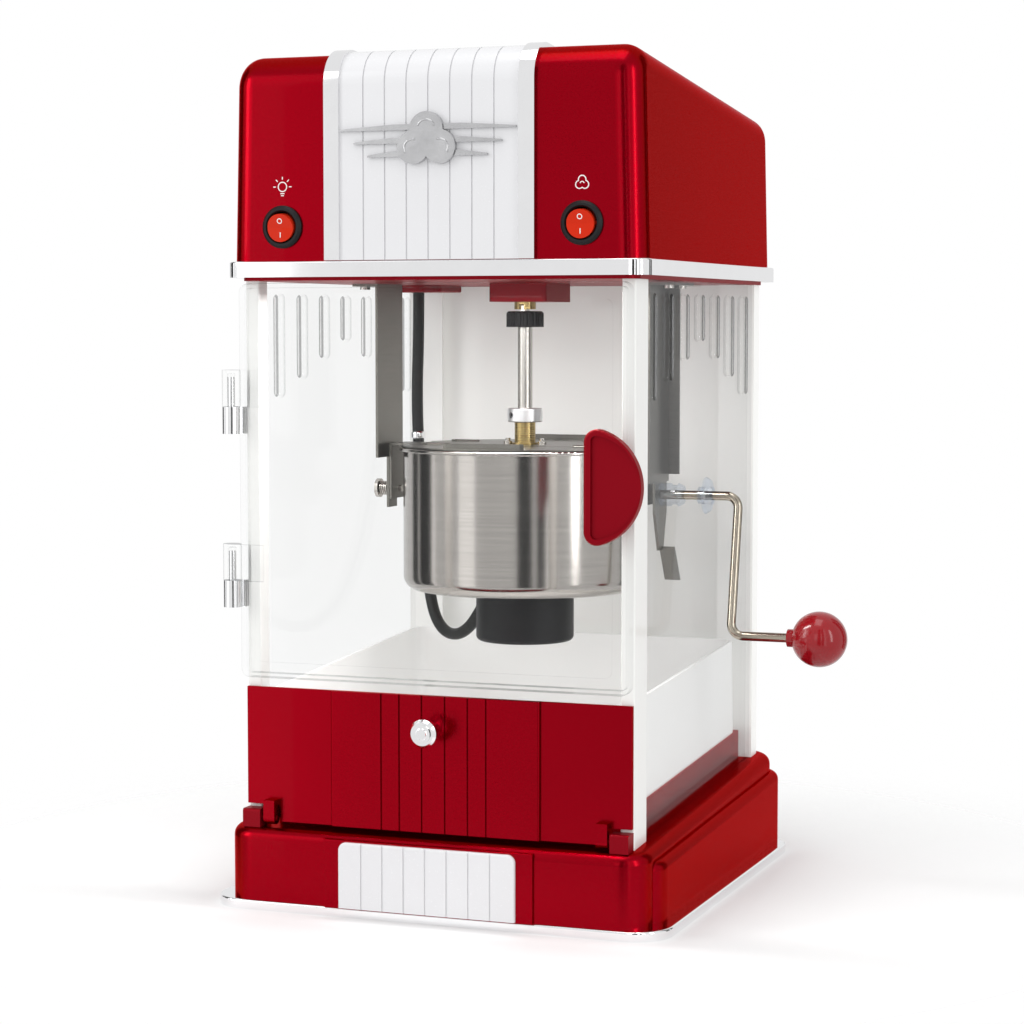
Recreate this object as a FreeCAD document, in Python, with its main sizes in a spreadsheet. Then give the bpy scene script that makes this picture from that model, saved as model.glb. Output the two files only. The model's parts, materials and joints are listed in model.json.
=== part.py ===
import FreeCAD, Part
import math
import os
import Sketcher

V = FreeCAD.Vector
doc = FreeCAD.newDocument("popcorn_maker")

# Driving dimensions, in millimetres (angles in degrees). The origin is the centre of the
# footprint at floor level, the door faces -Y and the crank comes out of the +X side.
DIMENSIONS = {
    # base
    "plate_width": 262.3, "plate_depth": 273.0, "plate_corner": 20.8, "plate_top": 5.3,
    "foot_height": 2.4, "foot_radius": 9.0, "foot_x": 100.0, "foot_y": 108.0,
    "base_half_width": 121.0, "base_front": -136.0, "base_back": 133.0, "base_corner": 17.0,
    "deck_front_z": 44.7, "deck_slope": 3.33, "base_edge_round": 6.0,
    "wing_half_width": 125.5, "wing_front": -124.0, "wing_back": 136.0,
    "wing_front_z": 38.5, "wing_slope": 2.4, "wing_round": 5.0, "base_wall": 3.0,
    "badge_half_width": 51.0, "step_half_width": 60.5, "step_proud": 1.4, "badge_sheet": 2.0,
    # cabinet
    "side_x": 112.0, "post_front": -122.5, "post_width": 7.8, "post_depth": 21.5,
    "post_sheet": 2.5, "plinth_half_width": 105.0, "plinth_height": 17.0,
    "plinth_front": -99.0, "plinth_back": 104.0, "sheet_low": 40.0,
    "back_post_front": 108.0, "back_y": 119.6, "back_post_width": 22.0, "back_sheet": 2.5,
    "ceiling_z": 344.5, "ceiling_sheet": 1.8, "window_sheet": 2.5, "window_inset": 1.3,
    "drip_radius": 3.2, "drip_sink": 1.8, "drip_top": 335.0, "drip_pitch": 30.2,
    "groove_radius": 2.2, "groove_sink": 2.4,
    # bin
    "tray_half_width": 103.8, "tray_front": -112.0, "tray_back": 103.0, "tray_height": 56.0,
    "tray_wall": 2.0, "tray_corner": 8.0,
    # top
    "band_half_width": 120.4, "band_front": -132.5, "band_back": 129.8, "band_height": 8.6,
    "band_corner": 10.0, "hood_half_width": 118.0, "hood_front": -131.0, "hood_back": 127.0,
    "hood_front_z": 448.0, "hood_front_round": 17.5, "hood_slope": 5.4, "hood_back_round": 15.0,
    "hood_draft": 1.4, "hood_side_round": 13.0, "hood_wall": 2.5,
    "strip_inner": 51.0, "strip_outer": 59.8, "strip_rise": 2.6, "panel_rise": 1.4,
    "rib_pitch": 12.4, "switch_x": 85.3, "switch_z": 373.2, "bezel_radius": 11.5,
    "rocker_radius": 7.5, "rocker_throw": 14.0,
    "gland_x": -80.0, "gland_z": 372.0, "gland_hole": 7.0, "lamp_x": 75.0, "lamp_y": 60.0,
    # door and drop panel
    "door_half_width": 111.6, "door_low": 128.0, "door_high": 343.0, "door_front": -132.5,
    "door_depth": 8.5, "door_wall": 2.4, "hinge_x": -118.5, "hinge_y": -128.0,
    "hinge_radius": 5.0, "hinge_upper_z": 275.9, "hinge_lower_z": 180.7, "hinge_gap": 0.2,
    "leaf_height": 20.0, "leaf_sheet": 2.0, "barrel_height": 14.7, "pin_radius": 2.0,
    "handle_radius": 31.2, "handle_x": 88.6, "handle_z": 236.8, "handle_rise": 6.5,
    "handle_corner": 7.0, "dish_depth": 1.6, "recess_inset": 9.0, "recess_depth": 0.6,
    "panel_low": 47.8, "panel_high": 122.0, "panel_front": -125.0, "panel_sheet": 2.2,
    "panel_step": 2.0, "panel_axis_y": -127.0, "panel_axis_z": 50.0, "panel_knob_z": 104.0,
    # kettle
    "kettle_y": 15.0, "pivot_y": 12.0, "pivot_z": 224.0, "pot_radius": 71.0, "pot_low": 167.0,
    "pot_high": 250.0, "pot_wall": 1.0, "pot_round": 8.0, "rim_radius": 73.4,
    "bridge_top": 251.2, "bridge_half": 22.0, "bracket_x": 79.6, "bracket_low": 218.5,
    "heater_radius": 28.6, "heater_low": 136.5, "strap_x": 82.5, "strap_sheet": 1.5,
    "strap_front": -10.0, "strap_back": 27.0,
    "rod_radius": 4.25, "bush_radius": 6.1, "bush_top": 264.0, "collar_radius": 10.2,
    "collar_top": 272.3, "knob_radius": 10.9, "knob_low": 319.4, "knob_top": 328.6,
    "tongue_top": 331.8, "tongue_width": 2.6, "sleeve_low": 329.7, "sleeve_radius": 6.3,
    "boss_low": 334.0, "boss_half_width": 17.6, "shaft_radius": 4.95,
    # crank and lead
    "crank_radius": 2.6, "crank_x": 130.0, "crank_lean": 11.0, "crank_drop": 79.0,
    "bushing_hole": 4.85, "ball_x": 181.0, "ball_radius": 15.5, "crank_bend": 7.0,
    "lead_diameter": 7.0,
    # drive
    "gear_teeth": 36.0, "pinion_teeth": 12.0, "gear_module": 1.25, "gear_low": 352.0,
    "gear_width": 8.0, "case_top": 366.0, "stator_low": 369.0, "stator_height": 20.0,
}

sheet = doc.addObject("Spreadsheet::Sheet", "Sizes")
for row, (alias, value) in enumerate(DIMENSIONS.items(), 1):
    sheet.set(f"A{row}", alias)
    sheet.set(f"B{row}", str(value))
    sheet.setAlias(f"B{row}", alias)
doc.recompute()


class Size:
    """A number that also remembers the sheet formula it comes from."""

    def __init__(self, value, text=None):
        self.value = float(value)
        self.text = text or repr(float(value))

    def join(self, other, sign, swap=False):
        left, right = (as_size(other), self) if swap else (self, as_size(other))
        values = {
            "+": lambda a, b: a + b,
            "-": lambda a, b: a - b,
            "*": lambda a, b: a * b,
            "/": lambda a, b: a / b,
        }
        return Size(values[sign](left.value, right.value), f"({left.text} {sign} {right.text})")

    def __add__(self, other):
        return self.join(other, "+")

    def __radd__(self, other):
        return self.join(other, "+", True)

    def __sub__(self, other):
        return self.join(other, "-")

    def __rsub__(self, other):
        return self.join(other, "-", True)

    def __mul__(self, other):
        return self.join(other, "*")

    def __rmul__(self, other):
        return self.join(other, "*", True)

    def __truediv__(self, other):
        return self.join(other, "/")

    def __neg__(self):
        return self.join(0, "-", True)


class Sheet:
    """The sheet's cells as attributes."""


def as_size(number):
    return number if isinstance(number, Size) else Size(number)


S = Sheet()
for alias, value in DIMENSIONS.items():
    setattr(S, alias, Size(value, f"Sizes.{alias}"))


def tan_of(angle):
    return Size(math.tan(math.radians(angle.value)), f"tan({angle.text} * 1deg)")


# The kettle's own lead: heater gland, a slack bight, up the back corner, ceiling socket.
LEAD_ROUTE = [
    (-29.0, 28.0, 158.0), (-36.0, 31.4, 148.0), (-43.6, 35.8, 139.2), (-53.8, 42.2, 133.8),
    (-65.0, 49.8, 134.7), (-74.2, 57.2, 142.5), (-81.0, 65.0, 157.0), (-88.6, 74.0, 187.0),
    (-94.0, 81.0, 230.0), (-96.8, 83.0, 275.0), (-95.5, 83.5, 315.0), (-95.5, 83.5, 340.5),
]


# ---------------------------------------------------------------- makers
PARTS = {}


def bind(thing, path, size):
    thing.setExpression(path, as_size(size).text)


def place(thing, x=0, y=0, z=0):
    for axis, size in zip("xyz", (x, y, z)):
        bind(thing, f"Placement.Base.{axis}", size)


def keep(name, thing):
    """Register a finished sub-part: its Label is its node's name."""
    thing.Label = name
    PARTS[name] = thing
    return thing


def box(x0, x1, y0, y1, z0, z1, name="block"):
    thing = doc.addObject("Part::Box", name)
    bind(thing, "Length", as_size(x1) - x0)
    bind(thing, "Width", as_size(y1) - y0)
    bind(thing, "Height", as_size(z1) - z0)
    place(thing, x0, y0, z0)
    return thing


TURNS = {
    "Z": FreeCAD.Rotation(),
    "X": FreeCAD.Rotation(V(0, 1, 0), 90),
    "Y": FreeCAD.Rotation(V(1, 0, 0), -90),
}


def rod(radius, length, x, y, z, axis="Z", name="round"):
    """A cylinder that starts at x, y, z and runs along +axis."""
    thing = doc.addObject("Part::Cylinder", name)
    bind(thing, "Radius", radius)
    bind(thing, "Height", length)
    thing.Placement = FreeCAD.Placement(V(), TURNS[axis])
    place(thing, x, y, z)
    return thing


def bar_at(radius, length, start, ahead, name="bar"):
    """A cylinder from the point `start` in any direction."""
    thing = doc.addObject("Part::Cylinder", name)
    bind(thing, "Radius", radius)
    bind(thing, "Height", length)
    thing.Placement = FreeCAD.Placement(start, FreeCAD.Rotation(V(0, 0, 1), ahead))
    return thing


def fuse(*things, name="fused"):
    joined = doc.addObject("Part::MultiFuse", name)
    joined.Shapes = list(things)
    joined.Refine = True
    return joined


def cut(base, *tools, name="cut"):
    result = doc.addObject("Part::Cut", name)
    result.Base = base
    result.Tool = tools[0] if len(tools) == 1 else fuse(*tools)
    result.Refine = True
    return result


def common(first, second, name="common"):
    result = doc.addObject("Part::Common", name)
    result.Base = first
    result.Tool = second
    result.Refine = True
    return result


def group(*things, name="group"):
    compound = doc.addObject("Part::Compound", name)
    compound.Links = list(things)
    return compound


def mirrored(thing, name="mirror"):
    """The same piece on the other side of the YZ plane."""
    mirror = doc.addObject("Part::Mirroring", name)
    mirror.Source = thing
    mirror.Normal = V(1, 0, 0)
    return mirror


def rounded(thing, radius, wanted, name="rounded"):
    """Fillet the edges that `wanted` picks."""
    doc.recompute()
    result = doc.addObject("Part::Fillet", name)
    result.Base = thing
    radius = as_size(radius).value
    edges = thing.Shape.Edges
    result.Edges = [(i, radius, radius) for i, edge in enumerate(edges, 1) if wanted(edge)]
    return result


def plane_of(body, role):
    return next(item for item in body.Origin.OriginFeatures if item.Role == role)


def outline(body, role, points, offset=0, name="outline"):
    """A closed sketch of straight lines on one of the body's own planes.

    Each corner is held by two dimensions that are bound to the sheet.
    """
    sketch = body.newObject("Sketcher::SketchObject", name)
    sketch.AttachmentSupport = [(plane_of(body, role), "")]
    sketch.MapMode = "FlatFace"
    bind(sketch, "AttachmentOffset.Base.z", offset)
    corners = [(as_size(a), as_size(b)) for a, b in points]
    spots = [V(a.value, b.value, 0) for a, b in corners]
    count = len(spots)
    for i in range(count):
        sketch.addGeometry(Part.LineSegment(spots[i], spots[(i + 1) % count]), False)
    for i in range(count):
        sketch.addConstraint(Sketcher.Constraint("Coincident", i, 2, (i + 1) % count, 1))
    for i, (a, b) in enumerate(corners):
        for kind, size in (("DistanceX", a), ("DistanceY", b)):
            constraint = Sketcher.Constraint(kind, -1, 1, i, 1, size.value)
            index = sketch.addConstraint(constraint)
            sketch.setExpression(f"Constraints[{index}]", size.text)
    return sketch


def padded(role, points, start, length, name="body"):
    """A body made by one Pad of a straight-sided outline, from `start` along the plane's normal."""
    body = doc.addObject("PartDesign::Body", name)
    sketch = outline(body, role, points, start)
    pad = body.newObject("PartDesign::Pad", "pad")
    pad.Profile = sketch
    bind(pad, "Length", length)
    doc.recompute()
    return body


def soften(body, radius, wanted, name="edge_round"):
    """Add a Fillet to a body, on the edges that `wanted` picks."""
    doc.recompute()
    tip = body.Tip
    names = [f"Edge{i}" for i, edge in enumerate(tip.Shape.Edges, 1) if wanted(edge)]
    fillet = body.newObject("PartDesign::Fillet", name)
    fillet.Base = (tip, names)
    bind(fillet, "Radius", radius)
    doc.recompute()
    return body


def slab(x0, x1, y0, y1, z0, z1, corner, name="slab"):
    """A plate with four upright rounded corners."""
    points = [(x0, y0), (x1, y0), (x1, y1), (x0, y1)]
    body = padded("XY_Plane", points, z0, as_size(z1) - z0, name)
    return soften(body, corner, upright)


def turned(points, x=0, y=0, z=0, axis="Z", name="turned"):
    """A body of revolution: points are (radius, height along the axis)."""
    body = doc.addObject("PartDesign::Body", name)
    sketch = outline(body, "XZ_Plane", points)
    spin = body.newObject("PartDesign::Revolution", "spin")
    spin.Profile = sketch
    spin.ReferenceAxis = (sketch, ["V_Axis"])
    spin.Angle = 360
    body.Placement = FreeCAD.Placement(V(), TURNS[axis])
    place(body, x, y, z)
    doc.recompute()
    return body


def direction(edge):
    line = edge.Vertexes[-1].Point - edge.Vertexes[0].Point
    return line.normalize() if line.Length > 1e-6 else V()


def upright(edge):
    return abs(direction(edge).z) > 0.99 and edge.Curve.TypeId == "Part::GeomLine"


def ring_at(radius, height=None):
    """Pick circles of one radius, and of one height if it is given (in the body's own frame)."""
    def wanted(edge):
        if edge.Curve.TypeId != "Part::GeomCircle":
            return False
        if abs(edge.Curve.Radius - as_size(radius).value) > 0.01:
            return False
        return height is None or abs(edge.Curve.Center.z - as_size(height).value) < 0.01
    return wanted


def centre_of(edge):
    return edge.valueAt((edge.FirstParameter + edge.LastParameter) / 2)


def bent_wire(points, radii):
    """Straight runs joined by tangent arcs at every inner point."""
    spots = [V(*point) for point in points]
    edges = []
    last = spots[0]
    for before, corner, after, radius in zip(spots, spots[1:], spots[2:], radii):
        back = (before - corner).normalize()
        ahead = (after - corner).normalize()
        half = (math.pi - back.getAngle(ahead)) / 2
        reach = radius * math.tan(half)
        start = corner + back * reach
        end = corner + ahead * reach
        middle = corner + (back + ahead).normalize() * (radius / math.cos(half) - radius)
        edges.append(Part.LineSegment(last, start).toShape())
        edges.append(Part.Arc(start, middle, end).toShape())
        last = end
    edges.append(Part.LineSegment(last, spots[-1]).toShape())
    return Part.Wire(edges)


def bent_tube(points, radii, diameter):
    """A round bar along a bent wire; its volume is compared with section times length."""
    path = bent_wire(points, radii)
    ahead = V(*points[1]) - V(*points[0])
    section = Part.Wire([Part.makeCircle(diameter / 2, V(*points[0]), ahead)])
    solid = path.makePipeShell([section], True, True)
    expected = math.pi * diameter**2 / 4 * path.Length
    print(f"tube length {path.Length:.1f} volume ratio {solid.Volume / expected:.4f}")
    return solid


def feature(name, shape):
    thing = doc.addObject("Part::Feature", name)
    thing.Shape = shape
    return thing


# ---------------------------------------------------------------- shared places
deck_rise = tan_of(S.deck_slope)
FAR = 400.0
post_inner = S.side_x - S.post_width
window_outer = S.side_x - S.window_inset
window_inner = window_outer - S.window_sheet
band_low = S.ceiling_z + S.ceiling_sheet
band_top = band_low + S.band_height
door_back = S.door_front + S.door_depth
panel_back = S.panel_front + S.panel_sheet


def deck_at(y):
    """Height of the sloping base deck at depth y."""
    return S.deck_front_z + (as_size(y) - S.base_front) * deck_rise


def below_slope(front_y, front_z, slope, name):
    """Everything under a plane that rises towards the back."""
    rise = tan_of(slope)
    points = [
        (-FAR, -FAR),
        (FAR, -FAR),
        (FAR, front_z + (FAR - front_y) * rise),
        (-FAR, front_z + (-FAR - front_y) * rise),
    ]
    return padded("YZ_Plane", points, -FAR, 2 * FAR, name)


def under_deck():
    return below_slope(S.base_front, S.deck_front_z, S.deck_slope, "under_deck")


# ---------------------------------------------------------------- base
def build_base():
    half_w = S.plate_width / 2
    half_d = S.plate_depth / 2
    plate = slab(-half_w, half_w, -half_d, half_d, 0, S.plate_top, S.plate_corner)
    soften(plate, 1.2, lambda e: abs(centre_of(e).z - S.plate_top.value) < 0.01)
    spots = [(x, y) for x in (-S.foot_x, S.foot_x) for y in (-S.foot_y, S.foot_y)]
    pockets = [rod(S.foot_radius, S.foot_height + 1, x, y, -1) for x, y in spots]
    keep("base_plate", cut(plate, *pockets))
    keep("rubber_feet", group(*[rod(S.foot_radius, S.foot_height, x, y, 0)
                                for x, y in spots]))

    top = 70.0  # clear of both sloping cuts
    upper = slab(-S.base_half_width, S.base_half_width, S.base_front, S.base_back,
                 S.plate_top, top, S.base_corner)
    upper = common(upper, under_deck())
    upper = rounded(upper, S.base_edge_round, lambda e: e.BoundBox.ZMin > S.wing_front_z.value)
    wing = slab(-S.wing_half_width, S.wing_half_width, S.wing_front, S.wing_back,
                S.plate_top, top, S.base_corner)
    wing = common(wing, below_slope(S.wing_front, S.wing_front_z, S.wing_slope, "under_wing"))
    wing = rounded(wing, S.wing_round, lambda e: e.BoundBox.ZMin > S.wing_front_z.value - 5)
    step = box(-S.step_half_width, S.step_half_width, S.base_front - S.step_proud, S.base_front + 3,
               S.plate_top, S.deck_front_z - 2)
    step = rounded(step, 1.2, lambda e: centre_of(e).z > S.deck_front_z.value - 3
                   and centre_of(e).y < S.base_front.value)
    plinth = plinth_block(0)
    wall = S.base_wall
    inner_x = S.base_half_width - wall
    cavity = slab(-inner_x, inner_x, S.base_front + wall, S.base_back - wall,
                  S.plate_top, top, S.base_corner - wall)
    cavity = common(cavity, below_slope(S.base_front, S.deck_front_z - wall, S.deck_slope,
                                        "under_roof"))
    keep("base_housing", cut(fuse(upper, wing, step, plinth), cavity, plinth_block(wall)))

    front = S.base_front - S.step_proud
    badge = box(-S.badge_half_width, S.badge_half_width, front - S.badge_sheet, front,
                S.plate_top + 0.4, S.deck_front_z - 3)
    badge_top = S.deck_front_z.value - 3
    badge = rounded(badge, 4.5, lambda e: abs(direction(e).y) > 0.99
                    and centre_of(e).z > badge_top - 1)
    badge = rounded(badge, 1.2, lambda e: centre_of(e).y < front.value - 1.9
                    and centre_of(e).z > badge_top - 6)
    grooves = rib_grooves(front - 2.3, front - 1.5, S.plate_top, S.deck_front_z)
    keep("badge_panel", cut(badge, *grooves))


def plinth_block(inset):
    """The raised block that the bin sits on, smaller all round by `inset`."""
    half = S.plinth_half_width - inset
    block = box(-half, half, S.plinth_front + inset, S.plinth_back - inset, 30, 90)
    top_z = S.deck_front_z + S.plinth_height - inset
    return common(block, below_slope(S.base_front, top_z, S.deck_slope, "under_plinth"))


def rib_grooves(y0, y1, z0, z1):
    """Seven fine upright grooves that part the eight ribs of a white panel."""
    return [box(S.rib_pitch * i - 0.4, S.rib_pitch * i + 0.4, y0, y1, z0, z1)
            for i in range(-3, 4)]


# ---------------------------------------------------------------- cabinet
def build_cabinet():
    low = S.sheet_low
    fold = S.post_sheet
    post = box(post_inner, S.side_x, S.post_front, S.post_front + S.post_depth,
               low, S.ceiling_z)
    post = rounded(post, 1.0, upright)
    inside = box(post_inner - 1, S.side_x - fold, S.post_front + fold,
                 S.post_front + S.post_depth + 1, low - 1, S.ceiling_z + 1)
    post = cut(post, inside, under_deck())
    keep("front_post_right", post)
    keep("front_post_left", mirrored(post))

    back_inner = S.side_x - S.back_post_width
    sheet_front = S.back_y - S.back_sheet
    pieces = [box(-S.side_x, S.side_x, sheet_front, S.back_y, low, S.ceiling_z)]
    for x0, x1 in ((-S.side_x, -S.side_x + fold), (S.side_x - fold, S.side_x)):
        pieces.append(box(x0, x1, S.back_post_front, S.back_y, low, S.ceiling_z))
    for x0, x1 in ((-S.side_x, -back_inner), (back_inner, S.side_x)):
        pieces.append(box(x0, x1, S.back_post_front, S.back_post_front + fold, low,
                          S.ceiling_z))
    keep("back_frame", cut(fuse(*pieces), under_deck()))

    for name, side in (("side_window_right", 1), ("side_window_left", -1)):
        keep(name, side_window(side))

    flange = 10.5
    bush_bore = S.crank_radius + 0.06
    bushing = turned([(bush_bore, -S.window_sheet - 1.5), (4.8, -S.window_sheet - 1.5),
                      (4.8, 0), (flange, 0), (flange - 1.2, 2.2), (5.2, 2.2),
                      (4.6, 4.4), (bush_bore, 4.4)],
                     window_outer, S.pivot_y, S.pivot_z, "X")
    keep("crank_bushing", bushing)


def capsule(radius, x, y, length):
    """An upright bar with round ends that hangs from the top of the drip row."""
    ends = []
    for z in (S.drip_top, S.drip_top - length):
        end = doc.addObject("Part::Sphere", "end")
        bind(end, "Radius", radius)
        place(end, x, y, z)
        ends.append(end)
    return fuse(rod(radius, length, x, y, S.drip_top - length), *ends)


def side_window(side):
    """A clear side sheet with seven pressed-out drips; the crank's side has its hole."""
    low = S.sheet_low
    near = window_inner if side > 0 else -window_outer
    sheet_box = box(near, near + S.window_sheet, S.post_front + S.post_depth,
                    S.back_post_front, low, S.ceiling_z)
    lengths = (52.0, 42.0, 31.0, 21.0, 31.0, 42.0, 53.0)
    first_y = -87.0
    ridges, grooves = [], []
    for i, length in enumerate(lengths):
        y = first_y + S.drip_pitch * i
        ridges.append(capsule(S.drip_radius, side * (window_outer - S.drip_sink), y, length))
        grooves.append(capsule(S.groove_radius, side * (window_outer - S.groove_sink), y, length))
    tools = [under_deck()] + grooves
    if side > 0:
        tools.append(rod(S.bushing_hole, 10, window_inner - 4, S.pivot_y, S.pivot_z, "X"))
    return cut(fuse(sheet_box, *ridges), *tools)


def build_tray():
    """The white bin: it leans forward with the plinth that it sits on."""
    half, wall = S.tray_half_width, S.tray_wall
    front, back, height = S.tray_front, S.tray_back, S.tray_height
    shell = slab(-half, half, front, back, 0, height, S.tray_corner)
    hollow = slab(-half + wall, half - wall, front + wall, back - wall, wall, height + 1,
                  S.tray_corner - wall)
    mouth = box(-half + 14, half - 14, front - 1, front + wall + 1, 22, height + 1)
    holder = group(cut(shell, hollow, mouth))
    holder.Placement = FreeCAD.Placement(V(), FreeCAD.Rotation(V(1, 0, 0), S.deck_slope.value))
    place(holder, 0, 0, deck_at(0) + S.plinth_height)
    keep("popcorn_tray", holder)


def hanger(side):
    """One folded strap from the ceiling down to the kettle's pivot, drawn for +X."""
    y0, y1 = S.strap_front, S.strap_back
    wide_low = 243.0 if side < 0 else 231.0
    x0, x1 = S.strap_x, S.strap_x + S.strap_sheet
    web = box(x0, x1, y0, y1, wide_low, S.ceiling_z)
    flange = box(x0, x0 + 8, y1 - S.strap_sheet, y1, wide_low + 4, S.ceiling_z)
    top = box(x0, x0 + 16, y0, y1, S.ceiling_z - S.strap_sheet, S.ceiling_z)
    tongue = box(x0, x1, S.pivot_y - 6, S.pivot_y + 6, 213, wide_low + 1)
    pieces = [web, flange, top, tongue]
    if side > 0:
        tail = padded("YZ_Plane", [(1, 214), (23, 214), (17, 192), (9, 192)], x0, S.strap_sheet)
        foot = padded("XZ_Plane", [(x0, 194), (x0 + 9, 194), (x0 + 12.5, 175), (x0 + 3.5, 175)],
                      -15, 1.5)
        neck = box(x0, x1, 1, 23, 213, 232)
        pieces += [tail, foot, neck]
    hole = S.crank_radius + 0.06 if side > 0 else S.pin_radius + 0.05
    strap = cut(fuse(*pieces), rod(hole, 8, x0 - 3, S.pivot_y, S.pivot_z, "X"))
    return strap if side > 0 else mirrored(strap)


# ---------------------------------------------------------------- top
def hood_corners(shift):
    """The hood's side profile as four virtual corners, pushed out by `shift`."""
    slope = math.radians(S.hood_slope.value)
    front = S.hood_front.value - shift
    back = S.hood_back.value + shift
    round_front = S.hood_front_round.value
    centre_y = S.hood_front.value + round_front
    centre_z = S.hood_front_z.value
    reach = (round_front + shift) / math.cos(slope)

    def top_z(y):
        return centre_z + reach - (y - centre_y) * math.tan(slope)
    return front, top_z(front), back, top_z(back)


def hood_profile(shift, low):
    """Closed wire of the hood's side view: front, top and back with rounded corners."""
    front, front_top, back, back_top = hood_corners(shift)
    corners = [V(0, front, low), V(0, front, front_top), V(0, back, back_top), V(0, back, low)]
    radii = {1: S.hood_front_round.value + shift, 2: S.hood_back_round.value + shift}
    edges = []
    last = corners[0]
    for i, radius in radii.items():
        towards = (corners[i - 1] - corners[i]).normalize()
        away = (corners[i + 1] - corners[i]).normalize()
        half = (math.pi - towards.getAngle(away)) / 2
        reach = radius * math.tan(half)
        start = corners[i] + towards * reach
        end = corners[i] + away * reach
        middle = corners[i] + (towards + away).normalize() * (radius / math.cos(half) - radius)
        edges.append(Part.LineSegment(last, start).toShape())
        edges.append(Part.Arc(start, middle, end).toShape())
        last = end
    edges.append(Part.LineSegment(last, corners[3]).toShape())
    edges.append(Part.LineSegment(corners[3], corners[0]).toShape())
    return Part.Wire(edges)


def hood_solid(shift, low, half_width, side_round):
    """The hood as a solid, drawn in on both sides towards the top and rounded all over."""
    block = Part.Face(hood_profile(shift, low)).extrude(V(2 * half_width, 0, 0))
    block.translate(V(-half_width, 0, 0))
    draft = math.tan(math.radians(S.hood_draft.value))
    high = 480.0
    inset = (high - low) * draft
    side = Part.makePolygon([V(-half_width, -FAR, low), V(half_width, -FAR, low),
                             V(half_width - inset, -FAR, high), V(-half_width + inset, -FAR, high),
                             V(-half_width, -FAR, low)])
    block = block.common(Part.Face(side).extrude(V(0, 2 * FAR, 0)))
    wanted = []
    for edge in block.Edges:
        box_of = edge.BoundBox
        middle = centre_of(edge)
        on_side = abs(middle.x) > half_width - inset - 1
        flat_low = box_of.ZMax < low + 0.01
        if on_side and not flat_low:
            wanted.append(edge)
    return block.makeFillet(side_round, wanted)


def build_top():
    keep("ceiling_plate", cut(slab(-113.5, 113.5, -127.5, 124.5, S.ceiling_z, band_low, 8),
                              rod(6.5, 10, 0, S.kettle_y, S.ceiling_z - 2),
                              rod(17.1, 10, S.lamp_x, S.lamp_y, S.ceiling_z - 2)))
    ring = slab(-S.band_half_width, S.band_half_width, S.band_front, S.band_back,
                band_low, band_top, S.band_corner)
    soften(ring, 1.0, lambda e: centre_of(e).z > band_top.value - 0.01)
    wall = 9.0
    hole = slab(-S.band_half_width + wall, S.band_half_width - wall, S.band_front + wall,
                S.band_back - wall, band_low - 1, band_top + 1, 4)
    keep("trim_band", cut(ring, hole))

    low = band_top.value
    outer = hood_solid(0, low, S.hood_half_width.value, S.hood_side_round.value)
    wall = S.hood_wall.value
    inner = hood_solid(-wall, low - 5, S.hood_half_width.value - wall,
                       S.hood_side_round.value - wall)
    shell = feature("hood_shell", outer.cut(inner))
    holes = [rod(10.0, 10, x, S.hood_front - 5, S.switch_z, "Y")
             for x in (-S.switch_x, S.switch_x)]
    holes.append(rod(S.gland_hole, 10, S.gland_x, S.hood_back - 5, S.gland_z, "Y"))
    keep("top_housing", cut(shell, *holes))

    keep("cord_gland", turned([(3.6, -4), (6.9, -4), (6.9, 0), (9.5, 0), (9.5, 2.5),
                               (7.2, 4.0), (5.4, 9.5), (3.6, 9.5)],
                              S.gland_x, S.hood_back, S.gland_z, "Y"))
    keep("top_centre_panel", wrapped_panel())
    keep("top_trim_strips", wrapped_strips())
    keep("emblem", emblem())
    bezel = [(8.3, -1.6), (8.3, 17), (9.9, 17), (9.9, 0), (S.bezel_radius, 0),
             (S.bezel_radius, -1.2), (10.2, -2.4), (9.0, -2.4)]
    bezels = [turned(bezel, x, S.hood_front, S.switch_z, "Y")
              for x in (-S.switch_x, S.switch_x)]
    keep("switch_bezels", group(*bezels))
    keep("light_rocker", rocker(-S.switch_x))
    keep("popper_rocker", rocker(S.switch_x))


def wrapped_band(x0, x1, rise, gap=0.0):
    """A strip that follows the hood up its front and over its top."""
    low = band_top.value + 0.2
    outer = Part.Face(hood_profile(rise, low)).extrude(V(x1 - x0, 0, 0))
    inner = Part.Face(hood_profile(gap, low - 5)).extrude(V(x1 - x0, 0, 0))
    strip = outer.cut(inner)
    end_y = 96.0
    strip = strip.cut(Part.makeBox(x1 - x0, FAR, FAR, V(0, end_y, low - 10)))
    strip.translate(V(x0, 0, 0))
    return strip


def wrapped_panel():
    half = S.strip_inner.value
    panel = feature("ribbed_sheet", wrapped_band(-half, half, S.panel_rise.value))
    depth = 0.6
    grooves = []
    for i in range(-3, 4):
        x = S.rib_pitch.value * i
        grooves.append(wrapped_band(x - 0.4, x + 0.4, S.panel_rise.value + 1,
                                    S.panel_rise.value - depth))
    return cut(panel, feature("rib_lines", Part.makeCompound(grooves)))


def wrapped_strips():
    strips = []
    for x0, x1 in ((S.strip_inner, S.strip_outer), (-S.strip_outer, -S.strip_inner)):
        strip = wrapped_band(x0.value, x1.value, S.strip_rise.value)
        strips.append(feature("strip", strip))
    return group(*strips)


def emblem():
    """A plain winged ornament: a popped kernel of three lobes between tapered bars."""
    back_y = S.hood_front - S.panel_rise
    thick = 3.0
    middle = 417.0
    lobes = [rod(9, thick, -7.5, back_y - thick, middle - 3, "Y"),
             rod(9, thick, 7.5, back_y - thick, middle - 3, "Y"),
             rod(9.5, thick, 0, back_y - thick, middle + 6, "Y")]
    bars = []
    for i, reach in enumerate((34.0, 42.0, 50.0)):
        z = middle - 9 + 7 * i
        points = [(-reach, z + 1), (reach, z + 1), (reach, z + 2), (20, z + 4),
                  (-20, z + 4), (-reach, z + 2)]
        bars.append(padded("XZ_Plane", points, -back_y, 2.0))
    return fuse(*lobes, *bars)


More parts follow.
